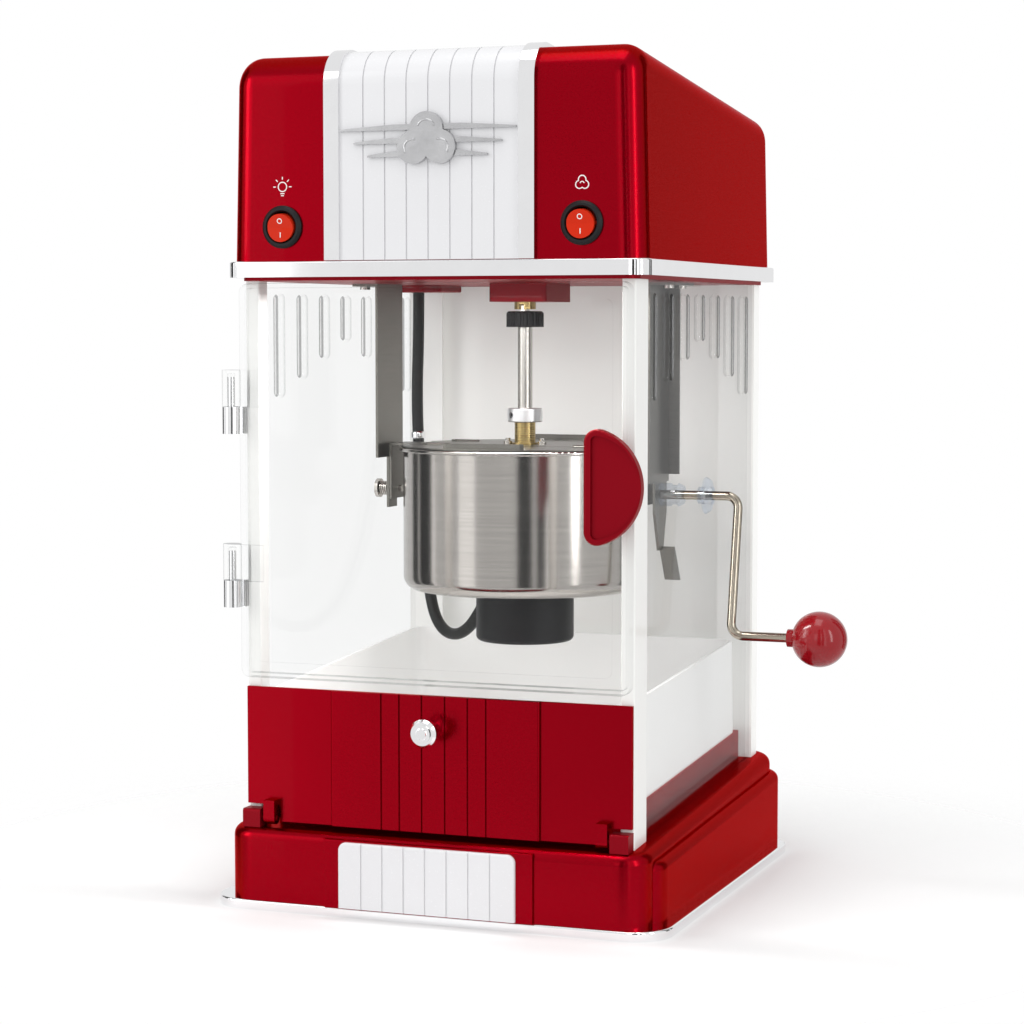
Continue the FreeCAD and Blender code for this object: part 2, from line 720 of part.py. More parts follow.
def rocker(x):
    """A round rocker with a shallow V face, resting with its lower half pressed in."""
    reach, depth = 10.0, 9.0
    valley, back_y = -4.2, 3.4
    tilt = S.rocker_throw / 2
    crest = valley - reach * tan_of(tilt)
    side_view = padded("YZ_Plane", [(valley, 0), (crest, reach), (back_y, reach),
                                    (back_y, -reach), (crest, -reach)], -reach, 2 * reach)
    button = common(rod(S.rocker_radius, depth, 0, back_y - depth, 0, "Y"), side_view)
    holder = group(fuse(button, rod(1.2, 16.2, -8.1, 0, 0, "X")))
    holder.Placement = FreeCAD.Placement(V(), FreeCAD.Rotation(V(1, 0, 0), tilt.value))
    place(holder, x, S.hood_front + 1.0, S.switch_z)
    return holder


# ---------------------------------------------------------------- door and drop panel
def half_disc(radius, x, corner, y0, y1):
    """A D-shaped plate: flat on its -X side, with both corners rounded."""
    disc = rod(radius, as_size(y1) - y0, x, y0, S.handle_z, "Y")
    half = box(x, x + 60, y0 - 1, y1 + 1, S.handle_z - 50, S.handle_z + 50)
    return rounded(common(disc, half), corner, lambda e: abs(direction(e).y) > 0.99
                   and abs(centre_of(e).x - as_size(x).value) < 0.1)


def build_door():
    w = S.door_half_width
    body = padded("XZ_Plane", [(-w, S.door_low), (w, S.door_low), (w, S.door_high),
                               (-w, S.door_high)], -door_back, S.door_depth)
    soften(body, 5.0, lambda e: abs(direction(e).y) > 0.99)
    soften(body, 1.2, lambda e: abs(centre_of(e).y - S.door_front.value) < 0.01)
    t = S.door_wall
    hollow = padded("XZ_Plane", [(-w + t, S.door_low + t), (w - t, S.door_low + t),
                                 (w - t, S.door_high - t), (-w + t, S.door_high - t)],
                    -door_back - 1, S.door_depth - t + 1)
    soften(hollow, 3.0, lambda e: abs(direction(e).y) > 0.99)
    edge = S.recess_inset
    recess = padded("XZ_Plane", [(-w + edge, S.door_low + edge), (w - edge, S.door_low + edge),
                                 (w - edge, S.door_high - edge), (-w + edge, S.door_high - edge)],
                    -S.door_front - S.recess_depth, 5)
    soften(recess, 4.0, lambda e: abs(direction(e).y) > 0.99)
    keep("door_window", cut(body, hollow, recess))

    grip = half_disc(S.handle_radius, S.handle_x, S.handle_corner,
                     S.door_front - S.handle_rise, S.door_front)
    grip = rounded(grip, 1.8, lambda e: centre_of(e).y < (S.door_front - S.handle_rise).value + 0.1)
    rim = 4.2
    dish = half_disc(S.handle_radius - rim, S.handle_x + rim, S.handle_corner - rim,
                     S.door_front - S.handle_rise - 1,
                     S.door_front - S.handle_rise + S.dish_depth)
    keep("door_handle", cut(grip, dish))

    leaves, brackets = [], []
    front = S.door_front
    for mid in (S.hinge_upper_z, S.hinge_lower_z):
        leaf_low = mid + S.hinge_gap
        leaf_high = leaf_low + S.leaf_height
        knuckle = rod(S.hinge_radius, S.leaf_height, S.hinge_x, S.hinge_y, leaf_low)
        arm = box(S.hinge_x, -97, front - S.leaf_sheet, front, leaf_low, leaf_high)
        root = box(S.hinge_x, -S.side_x, front - S.leaf_sheet, S.hinge_y - 1, leaf_low, leaf_high)
        bore = rod(S.pin_radius + 0.05, S.leaf_height - 1, S.hinge_x, S.hinge_y, leaf_low - 1)
        leaves.append(cut(fuse(knuckle, arm, root), bore))
        low = mid - S.barrel_height
        barrel = rod(S.hinge_radius, S.barrel_height, S.hinge_x, S.hinge_y, low)
        wing = box(S.hinge_x, -112.2, S.hinge_y + 2.4, -121, low, mid)
        plate = box(-S.side_x - 1.2, -S.side_x, -124.2, -108, low, mid)
        pin = rod(S.pin_radius, 30, S.hinge_x, S.hinge_y, low + 1)
        brackets.append(fuse(barrel, wing, plate, pin))
    keep("door_hinge_leaves", group(*leaves))
    keep("door_hinge_brackets", group(*brackets))


def build_drop_panel():
    w = S.side_x - 0.5
    low, high = S.panel_low, S.panel_high
    y, z = S.panel_axis_y, S.panel_axis_z
    sheet_box = box(-w, w, S.panel_front, panel_back, low, high)
    middle = box(-S.step_half_width, S.step_half_width, S.panel_front - S.panel_step,
                 panel_back, low, high)
    middle = rounded(middle, 1.2, lambda e: centre_of(e).y < S.panel_front.value
                     and upright(e))
    notches = [box(x0, x1, S.panel_front - 9, panel_back + 9, low - 1, 57.0)
               for x0, x1 in ((-w - 1, -91.5), (91.5, w + 1))]
    rim_x, rim_low, rim_high = 95.0, 60.0, high - 3
    rim_deep, rim_wall = 5.0, 2.0
    rim = cut(box(-rim_x, rim_x, panel_back - 0.1, panel_back + rim_deep, rim_low, rim_high),
              box(-rim_x + rim_wall, rim_x - rim_wall, panel_back - 1, panel_back + rim_deep + 1,
                  rim_low + rim_wall, rim_high - rim_wall))
    grooves = []
    for x in (6.7, 19.8, 30.4):
        for side in (-1, 1):
            grooves.append(box(side * x - 0.5, side * x + 0.5, S.panel_front - S.panel_step - 1,
                               S.panel_front - S.panel_step + 0.9, low - 1, high + 1))
    plate = cut(fuse(sheet_box, middle, rim), *notches, *grooves)
    lugs, bores = [], []
    for x0 in (-99.6, 93.0):
        lugs.append(rod(3.5, 6.6, x0, y, z, "X"))
        lugs.append(box(x0, x0 + 6.6, y - 3.5, panel_back, z, 60.0))
        bores.append(rod(1.55, 20, x0 - 5, y, z, "X"))
    stem_hole = rod(2.5, 12, 0, S.panel_front - S.panel_step - 1, S.panel_knob_z, "Y")
    keep("drop_panel", cut(fuse(plate, *lugs), *bores, stem_hole))

    blocks = []
    for x0, x1, pin0 in ((-111.6, -101.2, -101.2), (101.2, 111.6, 93.6)):
        block = cut(box(x0, x1, y - 4.5, S.post_front, 40, 55), under_deck())
        block = rounded(block, 1.5, lambda e: abs(direction(e).x) > 0.99
                        and centre_of(e).z > 54 and centre_of(e).y < y.value)
        pin = rod(1.5, 7.6, pin0, y, z, "X")
        blocks.append(fuse(block, pin))
    keep("panel_hinge_blocks", group(*blocks))

    knob = turned([(0, 4.3), (2.4, 4.3), (2.4, 0), (4.0, 0), (3.4, -5), (4.2, -9), (7.6, -11.5),
                   (7.6, -14.5), (6.4, -16.0), (4.9, -16.0), (4.9, -16.8), (3.2, -16.8),
                   (2.8, -17.6), (0, -17.6)],
                  0, S.panel_front - S.panel_step, S.panel_knob_z, "Y")
    keep("panel_knob", knob)


# ---------------------------------------------------------------- kettle
def build_kettle():
    y = S.kettle_y
    r, t = S.pot_radius, S.pot_wall
    height = S.pot_high - S.pot_low
    pot = turned([(0, 0), (r, 0), (r, height - 2.4), (S.rim_radius, height - 2.4),
                  (S.rim_radius, height), (r - t, height), (r - t, t), (0, t)],
                 0, y, S.pot_low)
    soften(pot, S.pot_round, ring_at(r, 0))
    soften(pot, S.pot_round - t, ring_at(r - t, t))
    soften(pot, 1.0, ring_at(S.rim_radius))
    keep("kettle_pot", pot)

    inner = S.bracket_x - 1.2
    deck = box(-S.bracket_x, S.bracket_x, y - S.bridge_half, y + S.bridge_half,
               S.bridge_top - 1.2, S.bridge_top)
    corners = [box(x0, x1, y0, y1, S.bridge_top - 3, S.bridge_top + 3)
               for x0, x1 in ((-S.bracket_x - 1, -65.0), (65.0, S.bracket_x + 1))
               for y0, y1 in ((y - S.bridge_half - 1, S.pivot_y - 12),
                              (S.pivot_y + 12, y + S.bridge_half + 1))]
    deck = cut(deck, *corners)
    sides = [box(x0, x1, S.pivot_y - 12, S.pivot_y + 12, S.bracket_low, S.bridge_top)
             for x0, x1 in ((-S.bracket_x, -inner), (inner, S.bracket_x))]
    ears = lid_ears(-1) + lid_ears(1)
    bridge = cut(fuse(deck, *sides, *ears), rod(5.0, 5, 0, y, S.bridge_top - 3),
                 rod(S.pin_radius, 10, -S.bracket_x - 4, S.pivot_y, S.pivot_z, "X"),
                 rod(S.crank_radius, 10, S.bracket_x - 6, S.pivot_y, S.pivot_z, "X"))
    keep("kettle_bridge", bridge)

    hr = S.heater_radius
    rise = S.pot_low - S.heater_low
    cup = turned([(0, 0), (hr, 0), (hr, rise), (hr - 2, rise), (hr - 2, 2), (0, 2)],
                 0, y, S.heater_low)
    soften(cup, 3.0, ring_at(hr, 0))
    exit_point = V(*LEAD_ROUTE[0])
    outwards = (V(*LEAD_ROUTE[1]) - exit_point).normalize()
    gland = bar_at(5.0, 10, exit_point - outwards * 10, outwards)
    gland = cut(gland, rod(hr - 1, rise, 0, y, S.heater_low),
                box(-60, 0, 0, 60, S.pot_low, S.pot_low + 20))
    keep("heater_housing", fuse(cup, gland))
    element = doc.addObject("Part::Torus", "element")
    bind(element, "Radius1", hr - 8)
    bind(element, "Radius2", 3.2)
    place(element, 0, y, S.pot_low - 3.2)
    keep("heating_element", element)

    screws = []
    for x in (-10.6, 10.6):
        screws.append(fuse(rod(1.5, 3.6, x, y, S.bridge_top), rod(2.6, 1.8, x, y, S.bridge_top)))
    for angle in (171, -52, 59):
        a = math.radians(angle)
        screws.append(rod(2.8, 2.2, 33.2 * math.cos(a), y + 33.2 * math.sin(a), S.pot_low - 2.2))
    keep("kettle_screws", group(*screws))

    bush = turned([(S.rod_radius + 0.05, -5), (4.95, -5), (4.95, 0), (7.5, 0), (7.5, 1.2),
                   (S.bush_radius, 1.2), (S.bush_radius, S.bush_top - S.bridge_top),
                   (S.rod_radius + 0.05, S.bush_top - S.bridge_top)],
                  0, y, S.bridge_top)
    keep("stir_bush", bush)

    pin = turned([(0, -92.4), (5.6, -92.4), (5.6, -90.4), (S.pin_radius, -90.4),
                  (S.pin_radius, -76.5), (0, -76.5)], 0, S.pivot_y, S.pivot_z, "X")
    keep("pivot_pin", pin)
    turns = []
    for i in range(4):
        turn = doc.addObject("Part::Torus", "turn")
        turn.Radius1 = 3.6
        turn.Radius2 = 0.6
        turn.Placement = FreeCAD.Placement(V(), TURNS["X"])
        place(turn, -89.5 + 1.5 * i, S.pivot_y, S.pivot_z)
        turns.append(turn)
    keep("pivot_spring", group(*turns))

    keep("lid_flap_front", lid_flap(-1))
    keep("lid_flap_back", lid_flap(1))


def lid_hinge_y(side):
    return S.kettle_y + side * (S.bridge_half + 1.4)


def lid_ears(side):
    """The bridge's ears, each with a pin that one of the lid's barrels turns on."""
    y, z = lid_hinge_y(side), S.bridge_top + 0.1
    near = S.kettle_y + side * (S.bridge_half - 1)
    far = y + side * 1.1
    y0, y1 = (near, far) if side > 0 else (far, near)
    ears = []
    for x0, pin0 in ((-54.6, -52.7), (52.3, 49.7)):
        ears.append(box(x0, x0 + 2.3, y0, y1, S.bridge_top - 1.2, S.bridge_top + 1.2))
        ears.append(rod(0.5, 3, pin0, y, z, "X"))
    return ears


def lid_flap(side):
    """A half-moon lid hinged along the bridge's edge."""
    y, r = S.kettle_y, S.pot_radius + 1.0
    low, high = S.bridge_top - 0.9, S.bridge_top - 0.1
    edge = S.bridge_half + 0.9
    far = y + side * 90
    near = y + side * edge
    y0, y1 = (near, far) if side > 0 else (far, near)
    half = common(rod(r, high - low, 0, y, low), box(-90, 90, y0, y1, low - 5, high + 5))
    slot_y = y + side * 62
    lip_y = y + side * 67.9
    slot = box(-5, 5, slot_y - 4, slot_y + 4, low - 1, high + 1)
    ear_far = lid_hinge_y(side) + side * 2
    n0, n1 = (near, ear_far) if side > 0 else (ear_far, near)
    notches = [box(x0, x0 + 3.5, n0 - 1, n1 + 1, low - 1, high + 1) for x0 in (-55.3, 51.9)]
    lip = common(box(-24, 24, lip_y - 0.6, lip_y + 0.6, low, high + 3.2),
                 rod(r, 20, 0, y, low - 1))
    hinge_y, hinge_z = lid_hinge_y(side), high + 0.2
    barrels = [rod(1.1, 14, x, hinge_y, hinge_z, "X") for x in (-52, 38)]
    bores = [rod(0.58, 5, x, hinge_y, hinge_z, "X") for x in (-53, 48)]
    return cut(fuse(cut(half, slot, *notches), lip, *barrels), *bores)


def build_stirrer():
    y = S.kettle_y
    shaft = rod(S.rod_radius, S.knob_top - 176, 0, y, 176)
    half = S.tongue_width / 2
    tongue = box(-half, half, y - 4, y + 4, S.knob_top, S.tongue_top)
    keep("stir_rod", fuse(shaft, tongue))

    collar = cut(rod(S.collar_radius, S.collar_top - S.bush_top - 0.3, 0, y, S.bush_top + 0.3),
                 rod(S.rod_radius, 30, 0, y, S.bush_top - 5),
                 radial_hole(1.7, S.rod_radius.value, 12, -123, 268.3))
    keep("stir_collar", rounded(collar, 0.6, ring_at(S.collar_radius)))
    screw = radial_hole(1.65, S.rod_radius.value, 4.6, -123, 268.3)
    keep("collar_set_screw", screw)

    # The knob's grip is eighteen flutes round its rim.
    knob = turned([(S.rod_radius, 0), (S.knob_radius, 0),
                   (S.knob_radius, S.knob_top - S.knob_low - 1.2),
                   (S.knob_radius - 1.2, S.knob_top - S.knob_low),
                   (S.rod_radius, S.knob_top - S.knob_low)], 0, y, S.knob_low)
    flutes = []
    count = 18
    for i in range(count):
        a = 2 * math.pi * i / count
        reach = S.knob_radius.value + 0.5
        flutes.append(rod(1.1, 20, reach * math.cos(a), y + reach * math.sin(a),
                          S.knob_low - 5))
    keep("stir_knob", cut(knob, *flutes))

    hub = rod(7, 12, 0, y, 172)
    arm = box(-56, 56, y - 1.4, y + 1.4, 171, 179)
    prongs = [box(x - 1.4, x + 1.4, y - 14, y + 14, 171, 175) for x in (-36, 36)]
    keep("agitator", cut(fuse(hub, arm, *prongs), rod(S.rod_radius, 20, 0, y, 176)))


def radial_hole(radius, start, length, angle, z):
    """A short round bar that points out from the stirring rod's axis."""
    a = math.radians(angle)
    ahead = V(math.cos(a), math.sin(a), 0)
    foot = V(0, S.kettle_y.value, z) + ahead * start
    return bar_at(radius, length, foot, ahead)


def build_crank():
    y, z = S.pivot_y.value, S.pivot_z.value
    lean = math.radians(S.crank_lean.value)
    drop = S.crank_drop.value
    low_y = y - drop * math.sin(lean)
    low_z = z - drop * math.cos(lean)
    bend = S.crank_bend.value
    x = S.crank_x.value
    points = [(76.0, y, z), (x, y, z), (x, low_y, low_z), (169.0, low_y, low_z)]
    bar = bent_tube(points, [bend, bend], 2 * S.crank_radius.value)
    keep("crank_rod", feature("crank_bar", bar))

    reach = S.ball_radius
    ball = doc.addObject("Part::Sphere", "ball")
    bind(ball, "Radius", reach)
    place(ball, S.ball_x, low_y, low_z)
    neck = rod(5.0, 6, S.ball_x - reach - 2.4, low_y, low_z, "X")
    bore = rod(S.crank_radius, 20, S.ball_x - reach - 11, low_y, low_z, "X")
    tip = S.ball_x - reach - 11 + 20
    print("crank enters the ball to x =", round(tip.value, 1))
    keep("crank_knob", cut(fuse(ball, neck), bore))

    coupling = turned([(S.crank_radius, 84.4), (6.6, 84.4), (6.6, 90), (5.6, 90.8), (5.6, 94),
                       (6.6, 94.8), (5.2, 97.6), (S.crank_radius, 97.6)], 0, y, z, "X")
    keep("crank_coupling", coupling)


def build_lead():
    spots = [V(*point) for point in LEAD_ROUTE]
    radii = []
    for before, corner, after in zip(spots, spots[1:], spots[2:]):
        turn = math.pi - (before - corner).getAngle(after - corner)
        shorter = min((before - corner).Length, (after - corner).Length)
        radii.append(0.45 * shorter / math.tan(turn / 2))
    print("lead arc radii", [round(radius, 1) for radius in radii])
    keep("kettle_lead", feature("lead", bent_tube(LEAD_ROUTE, radii, S.lead_diameter.value)))
    low, high = V(*LEAD_ROUTE[8]), V(*LEAD_ROUTE[9])
    along = (high - low).normalize()
    start = (low + high) / 2 - along * 2
    inner, outer = S.lead_diameter / 2 + 0.05, S.lead_diameter / 2 + 1
    keep("lead_clip", cut(bar_at(outer, 4, start, along),
                          bar_at(inner, 8, start - along * 2, along)))
    cover = slab(-106, -70, 55, 94, 340.5, S.ceiling_z, 4)
    keep("lead_socket", soften(cover, 1.0, lambda e: centre_of(e).z < 340.6))


# ---------------------------------------------------------------- drive
def gear_shape(teeth, width, bore):
    """A spur gear with straight-flanked teeth thinned for running clearance."""
    m = S.gear_module.value
    pitch = m * teeth / 2
    tip, root = pitch + 0.85 * m, pitch - 1.15 * m
    step = 2 * math.pi / teeth
    tip_half, pitch_half, root_half = 0.095 * step, 0.205 * step, 0.315 * step
    spots = []
    for i in range(int(teeth)):
        a = i * step
        for radius, off in ((root, -root_half), (pitch, -pitch_half), (tip, -tip_half),
                            (tip, tip_half), (pitch, pitch_half), (root, root_half)):
            spots.append(V(radius * math.cos(a + off), radius * math.sin(a + off), 0))
    spots.append(spots[0])
    blank = Part.Face(Part.makePolygon(spots)).extrude(V(0, 0, width))
    if bore:
        blank = blank.cut(Part.makeCylinder(bore, width))
    return blank


def build_drive():
    y = S.kettle_y
    boss = box(-S.boss_half_width, S.boss_half_width, 1, 46, S.boss_low, S.ceiling_z)
    boss = rounded(boss, 2.5, upright)
    keep("motor_boss", cut(boss, rod(S.shaft_radius + 0.05, 20, 0, y, S.boss_low - 3)))

    top = S.case_top - 4 - S.sleeve_low
    neck = S.boss_low - 0.2 - S.sleeve_low
    sleeve = turned([(0, 0), (S.sleeve_radius, 0), (S.sleeve_radius, neck),
                     (S.shaft_radius, neck), (S.shaft_radius, top), (0, top)],
                    0, y, S.sleeve_low)
    slot = box(-1.5, 1.5, y - 10, y + 10, S.sleeve_low - 1, S.tongue_top + 0.9)
    keep("drive_sleeve", cut(sleeve, slot))

    gear = gear_shape(S.gear_teeth.value, S.gear_width.value, S.shaft_radius.value)
    gear_part = feature("gear", gear)
    gear_part.Placement = FreeCAD.Placement(V(0, y.value, S.gear_low.value), FreeCAD.Rotation())
    keep("drive_gear", gear_part)

    centre = S.gear_module.value * (S.gear_teeth.value + S.pinion_teeth.value) / 2
    pinion = gear_shape(S.pinion_teeth.value, S.gear_width.value, 0)
    half_tooth = 180.0 / S.pinion_teeth.value
    pinion.rotate(V(), V(0, 0, 1), 180 - half_tooth)
    pinion.translate(V(0, 0, S.gear_low.value))
    shaft = Part.makeCylinder(3, 45, V(0, 0, 349.5))
    drum_low = S.stator_low.value
    drum = Part.makeCylinder(13, S.stator_height.value, V(0, 0, drum_low))
    rotor = pinion.fuse([shaft, drum]).removeSplitter()
    rotor_part = feature("rotor", rotor)
    rotor_part.Placement = FreeCAD.Placement(V(centre, y.value, 0), FreeCAD.Rotation())
    keep("motor_rotor", rotor_part)

    x0, x1, y0, y1 = -28.0, 46.0, -12.0, 42.0
    case = box(x0, x1, y0, y1, band_low, S.case_top)
    inside = box(x0 + 2, x1 - 2, y0 + 2, y1 - 2, band_low + 2, S.case_top - 2)
    posts = [rod(3, 3, x, py, S.case_top) for x in (-4, 42) for py in (-7, 37)]
    keep("gearbox_case", cut(fuse(cut(case, inside), *posts), rod(6.5, 10, 0, y, band_low - 4),
                             rod(3.06, 30, centre, y, S.case_top - 10)))
    frame = box(-10, 50, -10, 40, S.stator_low, S.stator_low + S.stator_height)
    window = box(-1, 11, 0, 30, S.stator_low - 1, S.stator_low + 30)
    bore = rod(13.6, 40, centre, y, S.stator_low - 5)
    low, high = S.stator_low, S.stator_low + S.stator_height
    coil = cut(box(-18, 9, 3, 27, low - 2.5, high + 2.5), box(-10, -1, 0, 30, low, high))
    coil = rounded(coil, 2.0, lambda e: abs(direction(e).y) > 0.99
                   and (centre_of(e).x < -17 or centre_of(e).x > 8))
    keep("motor_stator", group(cut(frame, window, bore), coil))

    keep("lamp_lens", turned([(0, 0), (17, 0), (17, 3.2), (19.5, 3.2), (19.5, 4.4), (0, 4.4)],
                             S.lamp_x, S.lamp_y, S.ceiling_z - 1.4))
    glass = doc.addObject("Part::Sphere", "bulb")
    bind(glass, "Radius", 12)
    place(glass, S.lamp_x, S.lamp_y, 368)
    cap = rod(6.5, 24, S.lamp_x, S.lamp_y, 372)
    keep("lamp_bulb", fuse(glass, cap))


build_base()
build_cabinet()
build_tray()
keep("hanger_right", hanger(1))
keep("hanger_left", hanger(-1))
build_top()
build_door()
build_drop_panel()
build_kettle()
build_stirrer()
build_crank()
build_lead()
build_drive()

screws = []
for side in (-1, 1):
    for y in (-4.0, 20.0):
        screws.append(rod(3.0, 1.8, side * 93, y, S.ceiling_z - 3.3))
keep("hanger_screws", group(*screws))

# ---------------------------------------------------------------- write
doc.recompute()
bad = [item.Label for item in doc.Objects if {"Invalid", "Error"} & set(item.State)]
bad += [name for name, item in PARTS.items() if item.Shape.isNull() or not item.Shape.isValid()]
if bad:
    raise RuntimeError(f"broken: {bad}")
os.makedirs("parts", exist_ok=True)
for name, item in PARTS.items():
    item.Shape.exportStep(os.path.join("parts", f"{name}.step"))
print(len(PARTS), "sub-parts written")
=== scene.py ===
# %% [markdown]
# # A table-top popcorn maker
# The rigid parts of this popcorn maker come finished from a CAD model: a red base, a clear cabinet
# with a steel kettle hung in it, and a red hood. This lesson stands a camera, makes the few soft or
# fine pieces that are easier to make here than in CAD, gives every surface a finish worked out by
# nodes, and lights them. Everything is in metres, the door faces -Y and +Z is up.

# %% Load the CAD parts
import json
import math

import bpy
import numpy as np
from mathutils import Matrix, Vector


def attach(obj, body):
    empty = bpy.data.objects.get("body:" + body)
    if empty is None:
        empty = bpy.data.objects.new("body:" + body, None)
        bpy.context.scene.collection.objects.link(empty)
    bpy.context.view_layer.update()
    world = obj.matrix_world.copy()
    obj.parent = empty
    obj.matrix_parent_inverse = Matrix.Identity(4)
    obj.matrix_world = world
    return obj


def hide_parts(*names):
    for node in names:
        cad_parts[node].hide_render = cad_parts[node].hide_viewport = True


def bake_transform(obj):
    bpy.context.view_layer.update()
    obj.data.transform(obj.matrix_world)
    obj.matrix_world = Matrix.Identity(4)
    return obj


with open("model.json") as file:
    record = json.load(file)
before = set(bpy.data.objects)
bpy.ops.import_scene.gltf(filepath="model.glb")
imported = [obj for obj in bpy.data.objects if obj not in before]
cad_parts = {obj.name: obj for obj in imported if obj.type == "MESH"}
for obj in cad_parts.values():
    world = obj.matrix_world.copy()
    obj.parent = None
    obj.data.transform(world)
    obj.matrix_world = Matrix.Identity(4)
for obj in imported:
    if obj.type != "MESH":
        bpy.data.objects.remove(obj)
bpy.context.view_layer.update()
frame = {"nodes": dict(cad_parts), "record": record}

MM = 0.001
nodes = frame["nodes"]

# %% [markdown]
# ## The camera
# A product is best looked at from well back through a long lens, which keeps upright edges nearly
# parallel. The camera stands to the right of the front and a little above the machine's middle,
# so the front, the crank's side and a hint of depth all show. Distance, angle round and angle up
# are easier to think about than three coordinates, so they are turned into a place here.

# %% Camera
LOOK_AT = Vector((-0.0025, 0.0, 0.2125))
CAMERA_DISTANCE = 1.4999
CAMERA_ROUND = math.radians(20.577)
CAMERA_UP = math.radians(4.130)
LENS = 91.0
SENSOR_WIDTH = 36.0


def add(name, data):
    """A new object in the scene, at the origin, unturned and unscaled."""
    thing = bpy.data.objects.new(name, data)
    bpy.context.scene.collection.objects.link(thing)
    return thing


camera_data = bpy.data.cameras.new("camera")
camera_data.lens = LENS
camera_data.sensor_width = SENSOR_WIDTH
camera = add("camera", camera_data)
back = Vector((math.sin(CAMERA_ROUND) * math.cos(CAMERA_UP),
               -math.cos(CAMERA_ROUND) * math.cos(CAMERA_UP),
               math.sin(CAMERA_UP)))
camera.location = LOOK_AT + back * CAMERA_DISTANCE
camera.rotation_euler = (-back).to_track_quat("-Z", "Y").to_euler()
bpy.context.scene.camera = camera
print("camera at", [round(v, 3) for v in camera.location])

# %% [markdown]
# ## The kettle's lead
# A black lead leaves the heater's gland, hangs in a short slack bight and climbs the back corner to
# a socket in the ceiling. It is round and flexible, so it is a smooth NURBS line with a round
# bevel rather than a chain of pipes. The same route points as the CAD tube are its control
# points. The line is turned into a mesh.

# %% Lead
LEAD_DIAMETER = 7.0 * MM
LEAD_ROUTE = [
    (-29.0, 28.0, 158.0), (-36.0, 31.4, 148.0), (-43.6, 35.8, 139.2), (-53.8, 42.2, 133.8),
    (-65.0, 49.8, 134.7), (-74.2, 57.2, 142.5), (-81.0, 65.0, 157.0), (-88.6, 74.0, 187.0),
    (-94.0, 81.0, 230.0), (-96.8, 83.0, 275.0), (-95.5, 83.5, 315.0), (-95.5, 83.5, 340.5),
]
ROUND_STEPS = 6
STEPS_PER_POINT = 10


def smooth(mesh):
    """Shade every face of a mesh as part of one rounded surface."""
    mesh.polygons.foreach_set("use_smooth", [True] * len(mesh.polygons))


def nurbs_lead(name, route, diameter):
    """A quadratic NURBS line pulled by its control points, given a round section, as a mesh."""
    curve = bpy.data.curves.new(name + "_line", "CURVE")
    curve.dimensions = "3D"
    curve.bevel_depth = diameter / 2
    curve.bevel_resolution = ROUND_STEPS
    curve.resolution_u = STEPS_PER_POINT
    spline = curve.splines.new("NURBS")
    spline.points.add(len(route) - 1)
    for point, place in zip(spline.points, route):
        point.co = (*[v * MM for v in place], 1.0)
    spline.order_u = 3
    spline.use_endpoint_u = True
    holder = bpy.data.objects.new(name + "_line", curve)
    mesh = bpy.data.meshes.new_from_object(holder)
    bpy.data.objects.remove(holder)
    smooth(mesh)
    return add(name, mesh)


lead = nurbs_lead("kettle_flex", LEAD_ROUTE, LEAD_DIAMETER)
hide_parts("kettle_lead")
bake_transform(lead)
print("lead mesh has", len(lead.data.polygons), "faces")

# %% [markdown]
# ## Shader maths as Python
# A material is a graph of nodes. Written one link at a time, even `1 - mask` takes four lines, so
# this small class wraps a socket and lets ordinary operators add the Math nodes. Every other node
# comes from one method, `node`, which takes the node's type, its settings and its inputs.


# %% Sockets with operators
class Wire:
    """A node's output socket that can be used in an expression."""

    def __init__(self, finish, socket):
        self.finish = finish
        self.socket = socket

    def maths(self, operation, *values):
        """A Math node fed with values or sockets, as one more value."""
        return self.finish.node("ShaderNodeMath", {"operation": operation},
                                dict(enumerate(values)))

    def __add__(self, other):
        return self.maths("ADD", self, other)

    def __radd__(self, other):
        return self.maths("ADD", other, self)

    def __sub__(self, other):
        return self.maths("SUBTRACT", self, other)

    def __rsub__(self, other):
        return self.maths("SUBTRACT", other, self)

    def __mul__(self, other):
        return self.maths("MULTIPLY", self, other)

    def __rmul__(self, other):
        return self.maths("MULTIPLY", other, self)

    def __truediv__(self, other):
        return self.maths("DIVIDE", self, other)

    def __rtruediv__(self, other):
        return self.maths("DIVIDE", other, self)

    def __pow__(self, other):
        return self.maths("POWER", self, other)

    def __abs__(self):
        return self.maths("ABSOLUTE", self)

    def larger(self, other):
        return self.maths("MAXIMUM", self, other)

    def clamp(self, low=0.0, high=1.0):
        return self.maths("MINIMUM", self.larger(low), high)


print("sockets can be added, multiplied and compared")

# %% [markdown]
# A finish is a material under construction. Its patterns read Object coordinates, which stay with
# the piece as it moves. Noise gives the slow and fast changes, a colour Mix lays one tone over
# another, and Bump turns a height into a slight relief.


